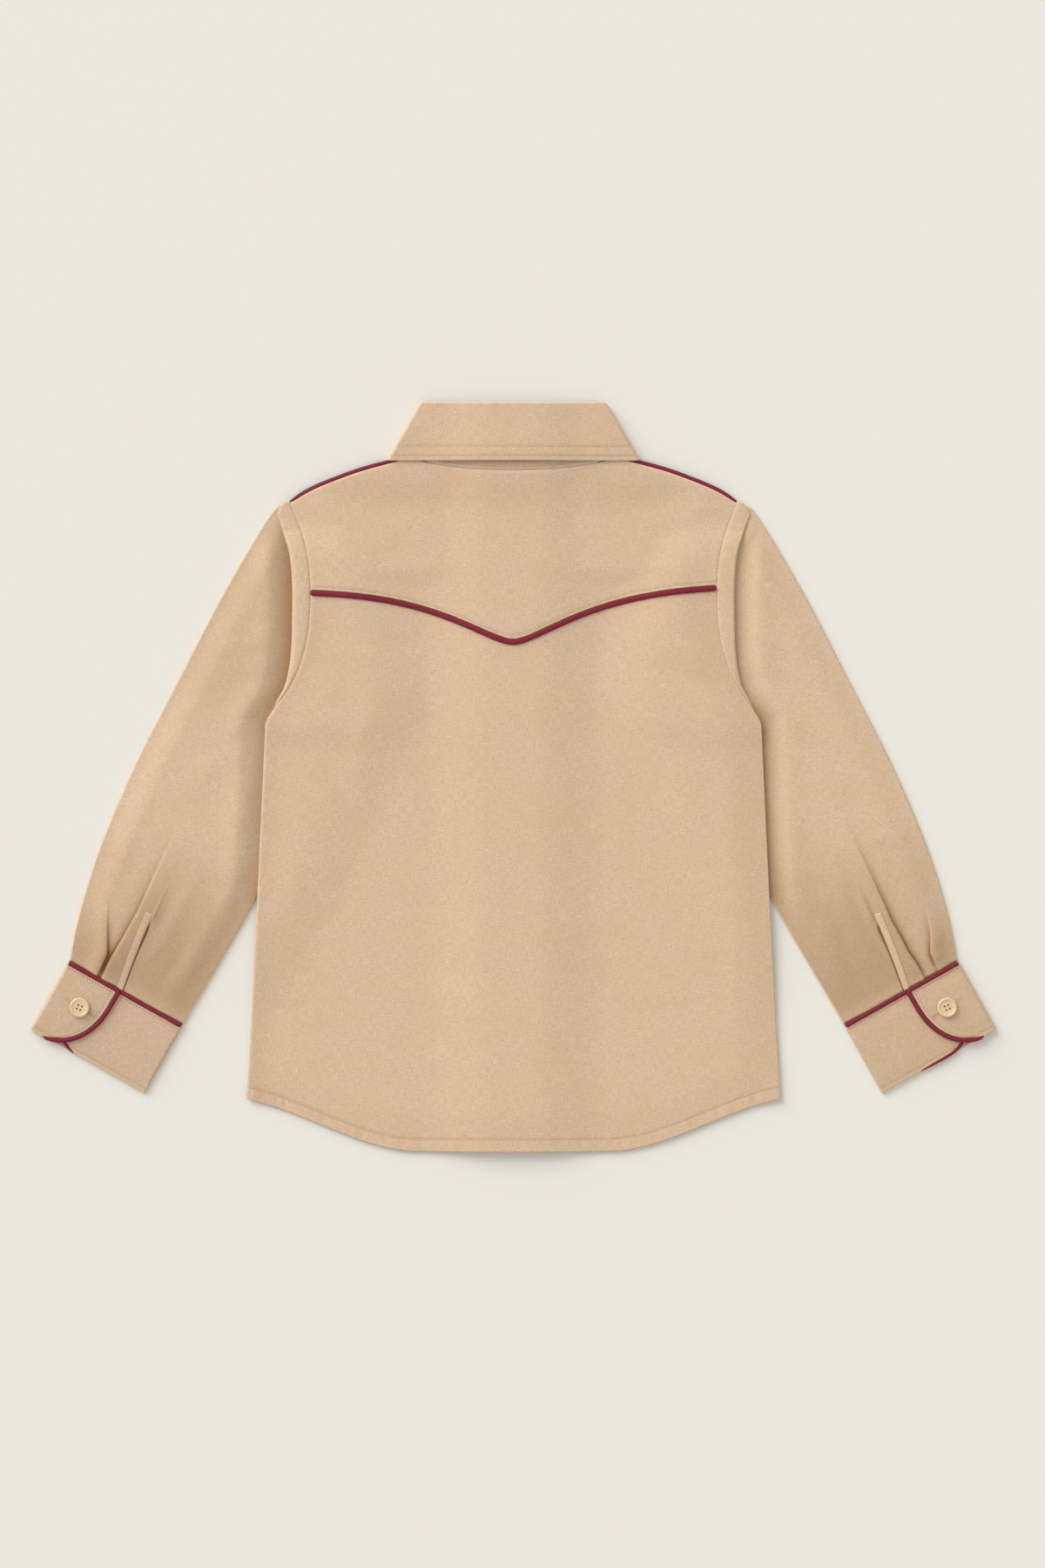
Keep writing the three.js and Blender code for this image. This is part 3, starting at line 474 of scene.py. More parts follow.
def sewing_thread(name, light, dark):
    finish = Finish(name, 0.7, **{"Sheen Weight": 0.2})
    tone = finish.noise(finish.place(), (700.0, 700.0, 700.0), 1.0)
    finish.tint(dark, light, tone)
    finish.bump(tone, 0.03)
    return finish.material


def table_top():
    finish = Finish("table_paper", 0.9)
    tone = finish.noise(finish.place(), (900.0, 900.0))
    finish.tint((234, 231, 222), (236, 233, 224), tone)
    return finish.material


THREAD_PITCH = 0.62  # of the weave
# The colours that the tone paints in: a highlight, partly edge wear, and shade.
PAINTED_HIGHLIGHT_AND_WEAR = (236, 212, 182)
PAINTED_SHADE = (142, 100, 52)
CLOTHS = {
    "cloth": woven("tan_weave", (228, 201, 171), (206, 174, 142), (212, 181, 138), 0.4),
    "cuff_cloth": woven("cuff_weave", (219, 191, 161), (196, 165, 134), (203, 171, 131), 0.35),
}
piping_satin = bias_tape()
button_cream = horn()
tan_thread = sewing_thread("tan_thread", (231, 206, 173), (203, 172, 134))
brown_thread = sewing_thread("brown_thread", (216, 186, 150), (188, 157, 121))
# Dark beads of painted shade between the stitches.
needle_holes = sewing_thread("needle_holes", (150, 116, 80), (128, 96, 62))


# Meshes
def placed(name, data):
    """A new object in the scene."""
    made = bpy.data.objects.new(name, data)
    bpy.context.scene.collection.objects.link(made)
    return made


def mesh_object(name, points, faces, material, edges=()):
    mesh = bpy.data.meshes.new(name)
    mesh.from_pydata((np.asarray(points) * MM).tolist(), list(edges), [list(face) for face in faces])
    mesh.materials.append(material)
    return placed(name, mesh)


def apply_modifiers(made):
    made.data = bpy.data.meshes.new_from_object(made.evaluated_get(bpy.context.evaluated_depsgraph_get()))
    made.modifiers.clear()


def set_grain(mesh, flat, tone):
    """Gives each point of a mesh its place on the flat cloth, in metres, and its tone."""
    corner = np.empty(len(mesh.loops), np.int32)
    mesh.loops.foreach_get("vertex_index", corner)
    layer = mesh.uv_layers.new(name="grain")
    layer.data.foreach_set("uv", (flat[corner] * MM).astype(np.float32).ravel())
    mesh.attributes.new("tone", "FLOAT", "POINT").data.foreach_set("value", tone.astype(np.float32))


def grid_object(name, grids, material):
    """Joins grids of points, each with its place on the flat cloth and its tone, into one mesh."""
    points, flats, tones, faces = [], [], [], []
    start = 0
    for grid, flat, tone in grids:
        rows, columns = grid.shape[:2]
        index = start + np.arange(rows * columns).reshape(rows, columns)
        quads = np.stack([index[:-1, :-1], index[1:, :-1], index[1:, 1:], index[:-1, 1:]], axis=-1)
        faces.append(quads.reshape(-1, 4))
        points.append(grid.reshape(-1, 3))
        flats.append(flat.reshape(-1, 2))
        tones.append(np.broadcast_to(tone, (rows, columns)).ravel())
        start += rows * columns
    made = mesh_object(name, np.vstack(points), np.vstack(faces).tolist(), material)
    set_grain(made.data, np.vstack(flats), np.concatenate(tones))
    return made


def reworked(mesh, change):
    """Changes a mesh with a function that is given it as a BMesh."""
    work = bmesh.new()
    work.from_mesh(mesh)
    change(work)
    work.to_mesh(mesh)
    work.free()


def merged(made, distance=0.01):
    """Closes a ring whose first and last columns lie on each other."""

    def close(work):
        bmesh.ops.remove_doubles(work, verts=work.verts, dist=distance * MM)
        bmesh.ops.delete(work, geom=[v for v in work.verts if not v.link_faces], context="VERTS")

    reworked(made.data, close)
    return made


def dress(made, node):
    made.data.shade_smooth()
    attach(made, "root")
    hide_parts(node)


def cloth(node, grids, slot="cloth", thickness=SHELL, closed=False):
    """A cloth piece, from grids of points in its middle, with the size that it was cut to."""
    made = grid_object(f"{node}_cloth", grids, CLOTHS[slot])
    if closed:
        merged(made)
    shell = made.modifiers.new("thickness", "SOLIDIFY")
    shell.thickness = thickness * MM
    shell.offset = 0
    dress(made, node)


def edge_wear_and_highlight(distance):
    """The tone near a turned edge: paler there, partly as wear and partly as a painted highlight on the
    edge's rounded turn.
    """
    return 0.3 * dip(distance - 0.4, 0.8)


# The body
def panel(columns, heights, top, bottom, edges):
    """The places in a four-sided panel: its side columns follow the seams, its end rows their edges."""
    u, base = columns[None, :], heights[:, None]
    first, last = heights[0], heights[-1]
    v = (first - base) / (first - last)
    rise = top(mix(*edges(first), u)) - first
    fall = bottom(mix(*edges(last), u)) - last
    y = base + (1 - v) * rise + v * fall
    return mix(edges(y[:, :1])[0], edges(y[:, -1:])[1], u), y


def back_surface(x, y):
    """The middle of the back panel's cloth."""
    side = side_at(y) - np.abs(x)
    hem = y - hem_edge(x)
    seam = yoke_edge(x) - y
    height = back_level(x, y) + HALF
    height += creased(BACK_CREASES, x, y) * smooth(side / 14) * smooth(hem / 16) * smooth(seam / 10)
    height -= 0.3 * dip(side, 1.2) + 0.5 * dip(seam, 1.6)
    fold = 1 - smooth((hem - HEM.turn) / 1.2)
    pucker = 0.14 * ripple(x, 8.5, 0.4) * dip(hem - HEM.turn * 0.55, 4.5)
    return height + 0.3 * fold - 0.32 * dip(hem - HEM.turn - 0.9, 1.0) + pucker - 0.25 * dip(hem, 0.8)


def yoke_surface(x, y):
    side = armhole_at(y) - np.abs(x)
    seam = y - yoke_edge(x)
    top = top_edge(x, NECK_BACK_DROP) - y
    height = back_level(x, y) + HALF
    height += creased(YOKE_CREASES, x, y) * smooth(side / 14) * smooth(seam / 10) * smooth(top / 8)
    pucker = 0.08 * ripple(x, 6.5, 1.3) * dip(seam - 4, 3)
    height += pucker - 0.28 * dip(seam - 3.9, 0.8)
    return height - 0.3 * dip(side, 1.2) - 0.5 * dip(seam, 1.6) - 0.25 * dip(top, 1.0)


def back_panel():
    heights = mix(YOKE.end_y - SEAM, HEM.side_y, shares(170, 0.7))
    x, y = panel(
        shares(190, 0.65), heights, lambda x: yoke_edge(x) - SEAM, hem_edge,
        lambda y: (-side_at(y) + SEAM, side_at(y) - SEAM),
    )
    grid = on_grid(x, y, back_surface(x, y))
    hem = y - hem_edge(x)
    side = side_at(y) - np.abs(x)
    # Painted light and shade: pale turned edges (partly wear), painted shade in the groove above the hem's
    # stitching and towards the side edges, and painted light and shade on the hem's puckers.
    tone = edge_wear_and_highlight(hem) + edge_wear_and_highlight(side) - 0.35 * dip(hem - HEM.turn - 0.7, 0.7) - 0.1 * dip(side, 20)
    tone += 0.1 * ripple(x, 8.5, 0.4) * dip(hem - HEM.turn * 0.55, 4)
    grids = [(grid, grid[..., :2], tone)]
    cloth("back_panel", grids)


def back_yoke():
    heights = mix(SHOULDER_TIP.y - INSET, YOKE.end_y + SEAM, shares(72, 0.6))
    x, y = panel(
        shares(200, 0.6), heights, lambda x: top_edge(x, NECK_BACK_DROP), lambda x: yoke_edge(x) + SEAM,
        lambda y: (-armhole_at(y) + SEAM, armhole_at(y) - SEAM),
    )
    grid = on_grid(x, y, yoke_surface(x, y))
    # Painted light and shade: pale turned edges (partly wear), a painted highlight on the edge beside the
    # piping, and a band of painted shade below the collar.
    tone = edge_wear_and_highlight(armhole_at(y) - np.abs(x)) + edge_wear_and_highlight(top_edge(x, NECK_BACK_DROP) - y)
    tone += 0.35 * dip(y - yoke_edge(x) - PIPING.width / 2 - 0.4, 0.5)
    tone -= 0.11 * dip(y - 197, 13) * (1 - smooth((np.abs(x) - 80) / 60))
    grids = [(grid, grid[..., :2], tone)]
    cloth("back_yoke", grids)


def front_surface(side, x, y):
    """The middle of a front's cloth. Its outer face is the lower one."""
    left = side < 0
    height = front_level(x, y, CENTRE.left if left else CENTRE.right) + HALF
    inside = smooth((side_at(y) - np.abs(x)) / 14) * smooth((np.abs(x) - 30) / 20)
    return np.maximum(height - creased(FRONT_CREASES, np.abs(x), y) * inside, SKIN + 0.06)


def front(name, side):
    edge = PLACKET_WIDTH / 2 + GAP if side < 0 else 0.5 - PLACKET_WIDTH / 2
    hem = HEM.side_y + FRONT_HEM_RISE
    heights = mix(SHOULDER_TIP.y - INSET, hem, shares(150, 0.5))
    x, y = panel(
        shares(96, 0.5), heights,
        lambda x: top_edge(x, NECK_FRONT_DROP), lambda x: hem_edge(x) + FRONT_HEM_RISE,
        lambda y: (side_at(y) - GAP / 2, edge + 0 * y),
    )
    x = x * side
    grid = on_grid(x, y, front_surface(side, x, y))
    tone = edge_wear_and_highlight(side_at(y) - np.abs(x)) + edge_wear_and_highlight(np.abs(x) - abs(edge))
    flat, area = ((0.171, 0.472), 0.0674) if side < 0 else ((0.196, 0.472), 0.0777)
    cloth(f"front_{name}", [(grid, grid[..., :2] + 400, tone)])


def front_placket():
    top_y = neckline(0, NECK_FRONT_DROP) - INSET
    x = mix(PLACKET_WIDTH / 2, -PLACKET_WIDTH / 2, shares(15, 0.5))[None, :]
    y = mix(top_y, hem_edge(0) + FRONT_HEM_RISE, shares(180, 0.3))[:, None]
    grid = on_grid(x, y, front_level(0, y, CENTRE.left) + HALF)
    tone = edge_wear_and_highlight(PLACKET_WIDTH / 2 - np.abs(x))
    grids = [(grid, grid[..., :2] + 700, tone)]
    cloth("front_placket", grids)


# Sleeves. s runs down a sleeve from the shoulder to the cuff, and p across it from its outer edge.
def on_line(line, s):
    at = np.asarray(s, float) * (len(line) - 1)
    index = np.arange(len(line))
    return on_grid(*(np.interp(at, index, line[:, k]) for k in (A, Y)))


def sleeve_width(s):
    return np.linalg.norm(on_line(inner_line, s) - on_line(outer_line, s), axis=-1)


def sleeve_place(s, p):
    outer, inner = on_line(outer_line, s), on_line(inner_line, s)
    tilt = np.radians(CUFF.tilt)
    beyond = np.maximum(0, s - 1)[..., None] * TUBE.length * np.array([np.sin(tilt), -np.cos(tilt)])
    return outer + (inner - outer) * (p / sleeve_width(s))[..., None] + beyond


def sleeve_points(s, p, z):
    place = sleeve_place(s, p)
    return on_grid(place[..., A], place[..., Y], z)


def sleeve_top(name, s, p):
    """The middle of a sleeve's upper cloth, with its crown, pleats and creases, and its tone: painted shade
    where it dips, in its pleats and in its slit.
    """
    s, p = np.broadcast_arrays(s, p)
    width = sleeve_width(s)
    size = width / CUFF.width
    up = (1 - s) * TUBE.length
    place = sleeve_place(s, p)
    clear = place[..., A] - np.maximum(fold_at(place[..., Y]), side_at(place[..., Y]))
    edges = smooth(p / 20) * smooth((width - p) / 20)
    swell = CROWN * mix(0.4, 1, smooth(up / 60)) + VALLEY.bank * dip(clear - VALLEY.width, VALLEY.width / 2)
    near_top = smooth((place[..., Y] - 148) / 34)
    valley = np.maximum(smooth(clear / VALLEY.width), near_top * smooth((clear + 0.5) / 6))
    height = TUBE.high + swell * edges * valley
    # Painted shade: deeper where the sleeve dips to its cap's fold and the body, darker towards the cuff, and
    # on the left sleeve's upper part.
    tones = SLEEVE_PAINTED_SHADE[name]
    deepest = mix(tones.side, tones.cap, smooth((place[..., Y] - 40) / 20))
    tone = -deepest * dip(np.maximum(clear, 0), 9) * smooth((up - 40) / 60) * (1 - near_top)
    tone -= 0.13 * (1 - smooth((up - 60) / 60)) + tones.upper * smooth((up - 160) / 80)
    shift = np.zeros(p.shape)
    for pleat in PLEATS[name]:
        into = pleat.toward * (p - np.interp(up, pleat.up, pleat.p) * size)
        deep = (1 - smooth(up / pleat.fade)) * mix(0.5, 1, smooth(up / 10))
        step = 1 - smooth(into / PLEAT.fold + 0.5)
        height += PLEAT.depth * deep * step * (1 - smooth(-into / pleat.reach))
        turn = np.clip(into / PLEAT.fold + 0.5, 0, 1)
        shift += pleat.toward * PLEAT.over * deep * np.sin(2 * np.pi * turn)
        # Painted shade in and beside each pleat's fold.
        tone -= 0.55 * deep * dip(into - 1.2, 1.6) * (into > -1)
        tone -= 0.3 * deep * dip(np.maximum(into - 1, 0), 5)
    slit = p / size - SLIT.at
    open_slit = smooth((SLIT.length - up) / 3)
    gape = SLIT.cut * (0.7 + 0.8 * dip(up - SLIT.length + 9, 8))
    height -= 1.3 * dip(slit, gape) * open_slit
    above = smooth((up - SLIT.length) / 4) * (1 - smooth((up - SLIT.length) / 34))
    height += 0.8 * above * smooth(-slit / 6 + 1) * smooth(slit / 2 + 0.5)
    # Painted shade in the slit and beside the crease above it.
    tone -= 0.8 * dip(slit, gape) * open_slit + 0.3 * dip(slit - 0.8, 1.0) * above
    share = p / width
    marks = [(f0 * 100, u0, f1 * 100, u1, wide, high) for f0, u0, f1, u1, wide, high in SLEEVE_CREASES]
    inside = smooth(p / 10) * smooth((width - p) / 10) * smooth(clear / 14)
    height += creased(marks, share * 100, up) * inside
    return sleeve_points(s, p + shift, height), tone


def sleeve_columns(name, s):
    """How far across the cuff's width a sleeve's columns lie, crowded at the folds and at the slit."""
    up = (1 - s) * TUBE.length
    edges = [0 * s]
    for pleat in PLEATS[name]:
        middle = np.interp(up, pleat.up, pleat.p)
        edges += [middle - PLEAT.fold / 2, middle + PLEAT.fold / 2]
    edges += [at + 0 * s for at in (SLIT.at - 2 * SLIT.cut, SLIT.at + 2 * SLIT.cut, CUFF.width)]
    columns = np.arange(SLEEVE_COLUMNS[-1] + 1)
    return np.array([np.interp(columns, SLEEVE_COLUMNS, row) for row in np.stack(edges, axis=-1)])


def sleeve_tube(name):
    """A sleeve's flat tube, round its outer edge, over its top, round its inner edge and back beneath."""
    s = mix(TUBE.start, 1 + TUCK / TUBE.length, np.linspace(0, 1, 185) ** 0.93)[:, None]
    width = sleeve_width(s)
    r = TUBE.edge
    upper_p = r + sleeve_columns(name, s[:, 0]) / CUFF.width * (width - 2 * r)
    upper, upper_tone = sleeve_top(name, s, upper_p)
    turn = np.radians(np.linspace(-90, 90, 9)[1:-1])
    outer_p = r - r * np.cos(turn) + 0 * width
    inner_p = width - r + r * np.cos(turn)
    low_p = mix(width - r, r + 0 * width, shares(40, 0.4)[None, :])
    outer = sleeve_points(s, outer_p, TUBE.side + r * np.sin(turn))
    inner = sleeve_points(s, inner_p, TUBE.side - r * np.sin(turn))
    lower = sleeve_points(s, low_p, TUBE.low)
    grid = np.concatenate([outer, upper, inner, lower, outer[:, :1]], axis=1)
    middle = width / 2
    near = [part - middle for part in (outer_p, upper_p, inner_p)]
    across = np.concatenate([*near, 3 * middle - low_p, 3 * middle], axis=1)
    tone = np.zeros(across.shape)
    tone[:, len(turn):len(turn) + upper_p.shape[1]] = upper_tone
    return grid, on_grid(across, -s * TUBE.length), tone


def sleeve_cap():
    """A sleeve's top beside the armhole seam: it folds over itself and goes back under the body."""
    first = SHOULDER_TIP.y - INSET
    y = mix(first, 40, shares(110, 0.3))[:, None]
    seam = armhole_at(y) + SEAM
    ending = smooth((y - 40) / 16)
    fold = np.maximum(fold_at(y) - 2.8 * (1 - ending), seam + mix(-0.8, 2.4, ending)) - HALF
    reach = fold - reach_at(y)
    top = back_level(armhole_at(y) - SEAM, y) + HALF
    low = np.maximum(TUBE.high + SHELL, np.minimum(TUBE.high + LAYER, top - LAYER))
    rise = (top - low) / 2
    radius = np.maximum(0.12, np.minimum(np.minimum(1.3, rise), fold - seam - 0.6))
    bend = fold - radius
    end = np.where(y > 140, np.maximum(reach - 2, seam + 0.3), reach - 2)
    under = shares(9)[None, :]
    turn = np.radians(np.linspace(-90, 90, 13)[1:-1])[None, :]
    over = shares(20, 0.5)[None, :]
    a = np.concatenate([mix(end, bend, under), bend + radius * np.cos(turn), mix(bend, seam, over)], axis=1)
    swell = 0.35 * np.sin(np.pi * over) ** 0.7 - 0.35 * dip((bend - seam) * (1 - over), 1.0)
    z = np.concatenate([low + 0 * under, top - rise + rise * np.sin(turn), top + swell], axis=1)
    strip = bend - seam
    sunk = 1.2 * smooth((y - 162) / 22) * smooth((a - seam) / np.maximum(strip, 0.5))
    z = z + 0.06 * ripple(y, 7, 0.8) - 1.2 * (1 - ending) - np.minimum(sunk, np.maximum(0, z - low - 1.0))
    tone = np.zeros(a.shape)
    # Painted light and shade: a pale edge at the fold (partly wear) and painted shade along the armhole seam.
    edge = edge_wear_and_highlight(strip * over) * smooth((strip - 3) / 4)
    tone[:, -over.shape[1]:] = edge - 0.3 * dip(strip * (1 - over), 0.6)
    near_top = 1 - smooth((first - y) / 14)
    y = y + (np.interp(a, SHOULDER_END[:, A], SHOULDER_END[:, Y]) - first) * near_top
    grid = on_grid(a, y, z)
    middle = grid[len(grid) // 2]
    return grid, on_grid(run_along(middle) - 20, y), tone


def sleeve(name, side):
    offset = 900 if side < 0 else 1500
    parts = (sleeve_tube(name), sleeve_cap())
    grids = [(grid * [side, 1, 1], flat + offset, tone) for grid, flat, tone in parts]
    cloth(f"sleeve_{name}", grids, closed=True)


def cuff_scaled(s, p):
    """The place where a point of the cuff's width lies further up the sleeve."""
    return p * sleeve_width(s) / CUFF.width


def sleeve_placket(name, side):
    """The binding of the sleeve's slit."""
    far = SLIT.at - SLIT.cut
    up = mix(SLIT.length + 5, -TUCK, shares(60))[:, None]
    s = 1 - up / TUBE.length
    t = shares(9, 0.4)[None, :]
    p = mix(far - SLIT.binding, far, t)
    place, _ = sleeve_top(name, s, cuff_scaled(s, p - 0.6))
    edge, _ = sleeve_top(name, s, cuff_scaled(s, p))
    place[..., :2] = edge[..., :2]
    place[..., 2] += SKIN - 0.15 + 0.2 * np.sin(np.pi * t) ** 0.6 * smooth((SLIT.length + 5.5 - up) / 2)
    place[..., 0] *= side
    flat = on_grid(p, s * TUBE.length) + 300
    # Painted light and shade: a faint painted highlight along the binding's middle, painted shade at its
    # edge, and a little darker overall.
    tone = 0.08 * dip(t - 0.5, 0.4) - 0.15 * dip(t, 0.15) - 0.1
    grids = [(place, flat, tone + 0 * s)]
    cloth(f"sleeve_placket_{name}", grids, thickness=0.6)


# Cuffs. p runs across a cuff from the sleeve's outer side, and v down it.
CUFF_Z = Sizes(low=0.6, band=2.1, flap=3.6)
PIPING_V = -(PIPING.width + GAP) + PIPING.width / 2
# Where the underlap's piping goes on along the cuff's hem, as places (p, v)
UNDERLAP_ENDS = {
    "left": [(28.7, 49), (34.4, 50.6)],
    "right": [(28.5, 48.9), (32.4, 50), (40.5, 50.5), (50.6, 50.4), (60.7, 50.2)],
}


def end_at(v, beyond=0.0):
    """How far a cuff's end reaches at a level: its piping's middle, or a line that lies beyond it."""
    fall = np.maximum(0, v - CUFF_END.start) / (CUFF_END.drop + beyond)
    return (CUFF_END.reach + beyond) * np.maximum(0, 1 - fall**CUFF_END.power) ** (1 / CUFF_END.power)


def end_curve(last, inset=0.0, count=60):
    """Places along that end's curve, or along a line inside it, from level CUFF_END.start down."""
    turn = np.radians(np.linspace(0, last, count))
    bent = 2 / CUFF_END.power
    p = (CUFF_END.reach - inset) * np.cos(turn) ** bent
    v = CUFF_END.start + (CUFF_END.drop - inset) * np.sin(turn) ** bent
    return on_grid(p, np.minimum(v, CUFF.height + 0.1))


def cuff_place(p, v, z):
    tilt = np.radians(CUFF.tilt)
    a = CUFF_CORNER.a - p * np.cos(tilt) + v * np.sin(tilt)
    return on_grid(a, CUFF_CORNER.y - p * np.sin(tilt) - v * np.cos(tilt), z)


def cuff_relief(p, v, end):
    """How the stitching draws a cuff's cloth in, and the padding between, as its height and its tone: a
    painted highlight beside the piping, painted shade in the stitching's grooves, and a pale hem, partly wear
    and partly highlight.
    """
    rows = (v - CUFF_SEWN.top, CUFF.height - CUFF_SEWN.hem - v, end - CUFF_SEWN.end)
    groove = sum(dip(row, 0.8) for row in rows)
    padded = smooth((v - 2) / 8) * smooth((CUFF.height - 4 - v) / 8) * smooth((end - 4) / 8)
    # Painted highlight: a thin pale line beside the piping.
    pale = dip(v - PIPING_V - PIPING.width / 2 + 0.2, 0.5) + dip(end - PIPING.width / 2 + 0.3, 0.5)
    pucker = 0.06 * ripple(p, 6, 0.9) * dip(CUFF.height - 2 - v, 3)
    height = 0.3 * padded - 0.2 * groove - 0.25 * dip(CUFF.height - v, 0.7) + pucker
    return height, 0.5 * np.minimum(1, pale) - 0.12 * groove + edge_wear_and_highlight(CUFF.height - v)


def cuff(name, side):
    v = mix(PIPING_V - 1, CUFF.height, shares(72, 0.6))[:, None]
    under = CUFF.underlap - end_at(v)
    flap = end_at(v)
    inner = (CUFF_Z.band - CUFF_Z.low) / 2
    outer = (CUFF_Z.flap - CUFF_Z.low) / 2
    width = CUFF.width
    bend = np.radians(np.linspace(90, -90, 11)[1:-1])[None, :]
    band_p = mix(under, width - inner, shares(60, 0.5)[None, :])
    low_p = mix(width - inner, outer, shares(30, 0.3)[None, :]) + 0 * v
    flap_p = mix(outer, flap, shares(44, 0.5)[None, :])
    band_z, band_tone = cuff_relief(band_p, v, (band_p - under) * 0.8)
    flap_z, flap_tone = cuff_relief(flap_p, v, (flap - flap_p) * 0.8)
    out, up = np.cos(bend) + 0 * v, np.sin(bend) + 0 * v
    stretches = [
        (band_p, CUFF_Z.band + band_z, band_tone),
        (width - inner + inner * out, CUFF_Z.low + inner + inner * up, 0 * out),
        (low_p, CUFF_Z.low + 0 * low_p, 0 * low_p),
        (outer - outer * out, CUFF_Z.low + outer - outer * up, 0 * out),
        (flap_p, CUFF_Z.flap + flap_z, flap_tone),
    ]
    p, z, tone = (np.concatenate(parts, axis=1) for parts in zip(*stretches))
    grid = cuff_place(p, v, z)
    along = np.cumsum(np.abs(np.diff(p, axis=1, prepend=p[:, :1])), axis=1)
    along -= along[:, 65:66]  # from the band's fold
    flat = on_grid(along, -v) + (2100 if side < 0 else 2400)
    grid[..., 0] *= side
    cloth(
        f"cuff_{name}", [(grid, flat, tone)],
        "cuff_cloth", CUFF.wall - 0.2,
    )


# The collar
def turned_column(start, end, sign, rise, count=11):
    """Columns that go round from one edge of the collar to the other, at the side of the neck."""
    t = np.linspace(0, 1, count)[1:-1][None, :, None]
    swell = np.sin(np.pi * t)
    place = mix(start[:, None, :], end[:, None, :], t)
    place[..., 2:] = mix(start[:, None, 2:], end[:, None, 2:], (1 - np.cos(np.pi * t)) / 2)
    place[..., 0:1] += sign * (1.4 * swell + 0.2)
    place[..., 1:2] += rise[:, None, None] * swell
    return place


def looped(right, back, left, rise):
    round_right = turned_column(right[:, -1], back[:, 0], 1, rise)
    round_left = turned_column(back[:, -1], left[:, 0], -1, rise)
    return np.concatenate([right, round_right, back, round_left, left], axis=1)


def unrolled(grid):
    """The places of a grid's points on the flat cloth, measured along its middle row and column."""
    along = np.cumsum(np.linalg.norm(np.diff(grid, axis=1, prepend=grid[:, :1]), axis=-1), axis=1)
    down = np.cumsum(np.linalg.norm(np.diff(grid, axis=0, prepend=grid[:1]), axis=-1), axis=0)
    middle = grid.shape[1] // 2
    return on_grid(along - along[:, middle:middle + 1], -down)


def leaf_back(t, v):
    x = mix(mix(COLLAR.top_half, -COLLAR.top_half, t), mix(COLLAR.low_half, -COLLAR.low_half, t), v)
    dipped = 0.6 * (1 - v) * (1 - (x / COLLAR.top_half) ** 2)
    y = mix(COLLAR.top_y - COLLAR.roll, COLLAR.low_y, v) - dipped
    return x, y


def leaf_height(v):
    """The leaf's swell, and the grooves of its two rows of stitches and its edge."""
    down = (1 - v) * (COLLAR.top_y - COLLAR.low_y)
    swell = 0.5 * np.sin(np.pi * np.clip(v, 0, 1))
    for row in LEAF_ROWS:
        swell -= 0.25 * dip(down - row, 0.9)
    return swell - 0.3 * dip(down, 0.7)


def leaf_off(x, v):
    """How far the leaf's free edge stands off the neck."""
    return 1.3 * smooth((v - 0.25) / 0.75) * smooth((72 - np.abs(x)) / 30)


def collar_leaf():
    v = shares(46, 0.3)[:, None] ** 0.95
    t_back = shares(150, 0.2)[None, :] * 0.98 + 0.01
    x, y = leaf_back(t_back, v)
    level = back_level(x, y) + LAYER + HALF
    pucker = 0.07 * ripple(x, 7, 0.2) * smooth((v - 0.7) / 0.2)
    back = on_grid(x, y, level + leaf_height(v) + leaf_off(x, v) + pucker)
    t = shares(46, 0.3)[None, :] * 0.98
    top_x = mix(COLLAR_FRONT.meet_a, COLLAR.top_half, t)
    x = mix(top_x, mix(COLLAR_FRONT.tip_a, COLLAR.low_half, t), v)
    y = mix(collar_fold_front(top_x) - COLLAR.roll, mix(COLLAR_FRONT.tip_y, COLLAR.low_y, t), v)
    right = on_grid(x, y, HALF + 0.1)
    left = right[:, ::-1] * [-1, 1, 1]
    grid = looped(right, back, left, 0.8 * v[:, 0])
    along = np.gradient(grid[0], axis=0)
    up = unit(grid[0] - grid[1])
    inward = unit(np.cross(along, up))
    middle = grid.shape[1] // 2
    inward *= -np.sign(inward[middle, 2])
    rolls = []
    for turn in np.radians([162, 135, 108, 81, 54, 27]):
        rolls.append(grid[0] + COLLAR.roll * (np.sin(turn) * up + (1 - np.cos(turn)) * inward))
    grid = np.concatenate([np.stack(rolls), grid], axis=0)
    down = np.concatenate([[[1]] * len(rolls), v]) * (COLLAR.top_y - COLLAR.low_y)
    edge = down[-1] - down
    # Painted light and shade: a pale free edge (partly wear), painted shade in the stitching's grooves, a
    # little darker overall, and a painted highlight on the rolled top fold.
    tone = edge_wear_and_highlight(edge) - 0.15 * dip(edge - LEAF_ROWS[0], 0.7) - 0.15 * dip(edge - LEAF_ROWS[1], 0.7)
    tone -= 0.05
    tone[:len(rolls)] = 0.05
    grids = [(grid, unrolled(grid) + 2700, tone)]
    cloth("collar_leaf", grids, thickness=1.1)


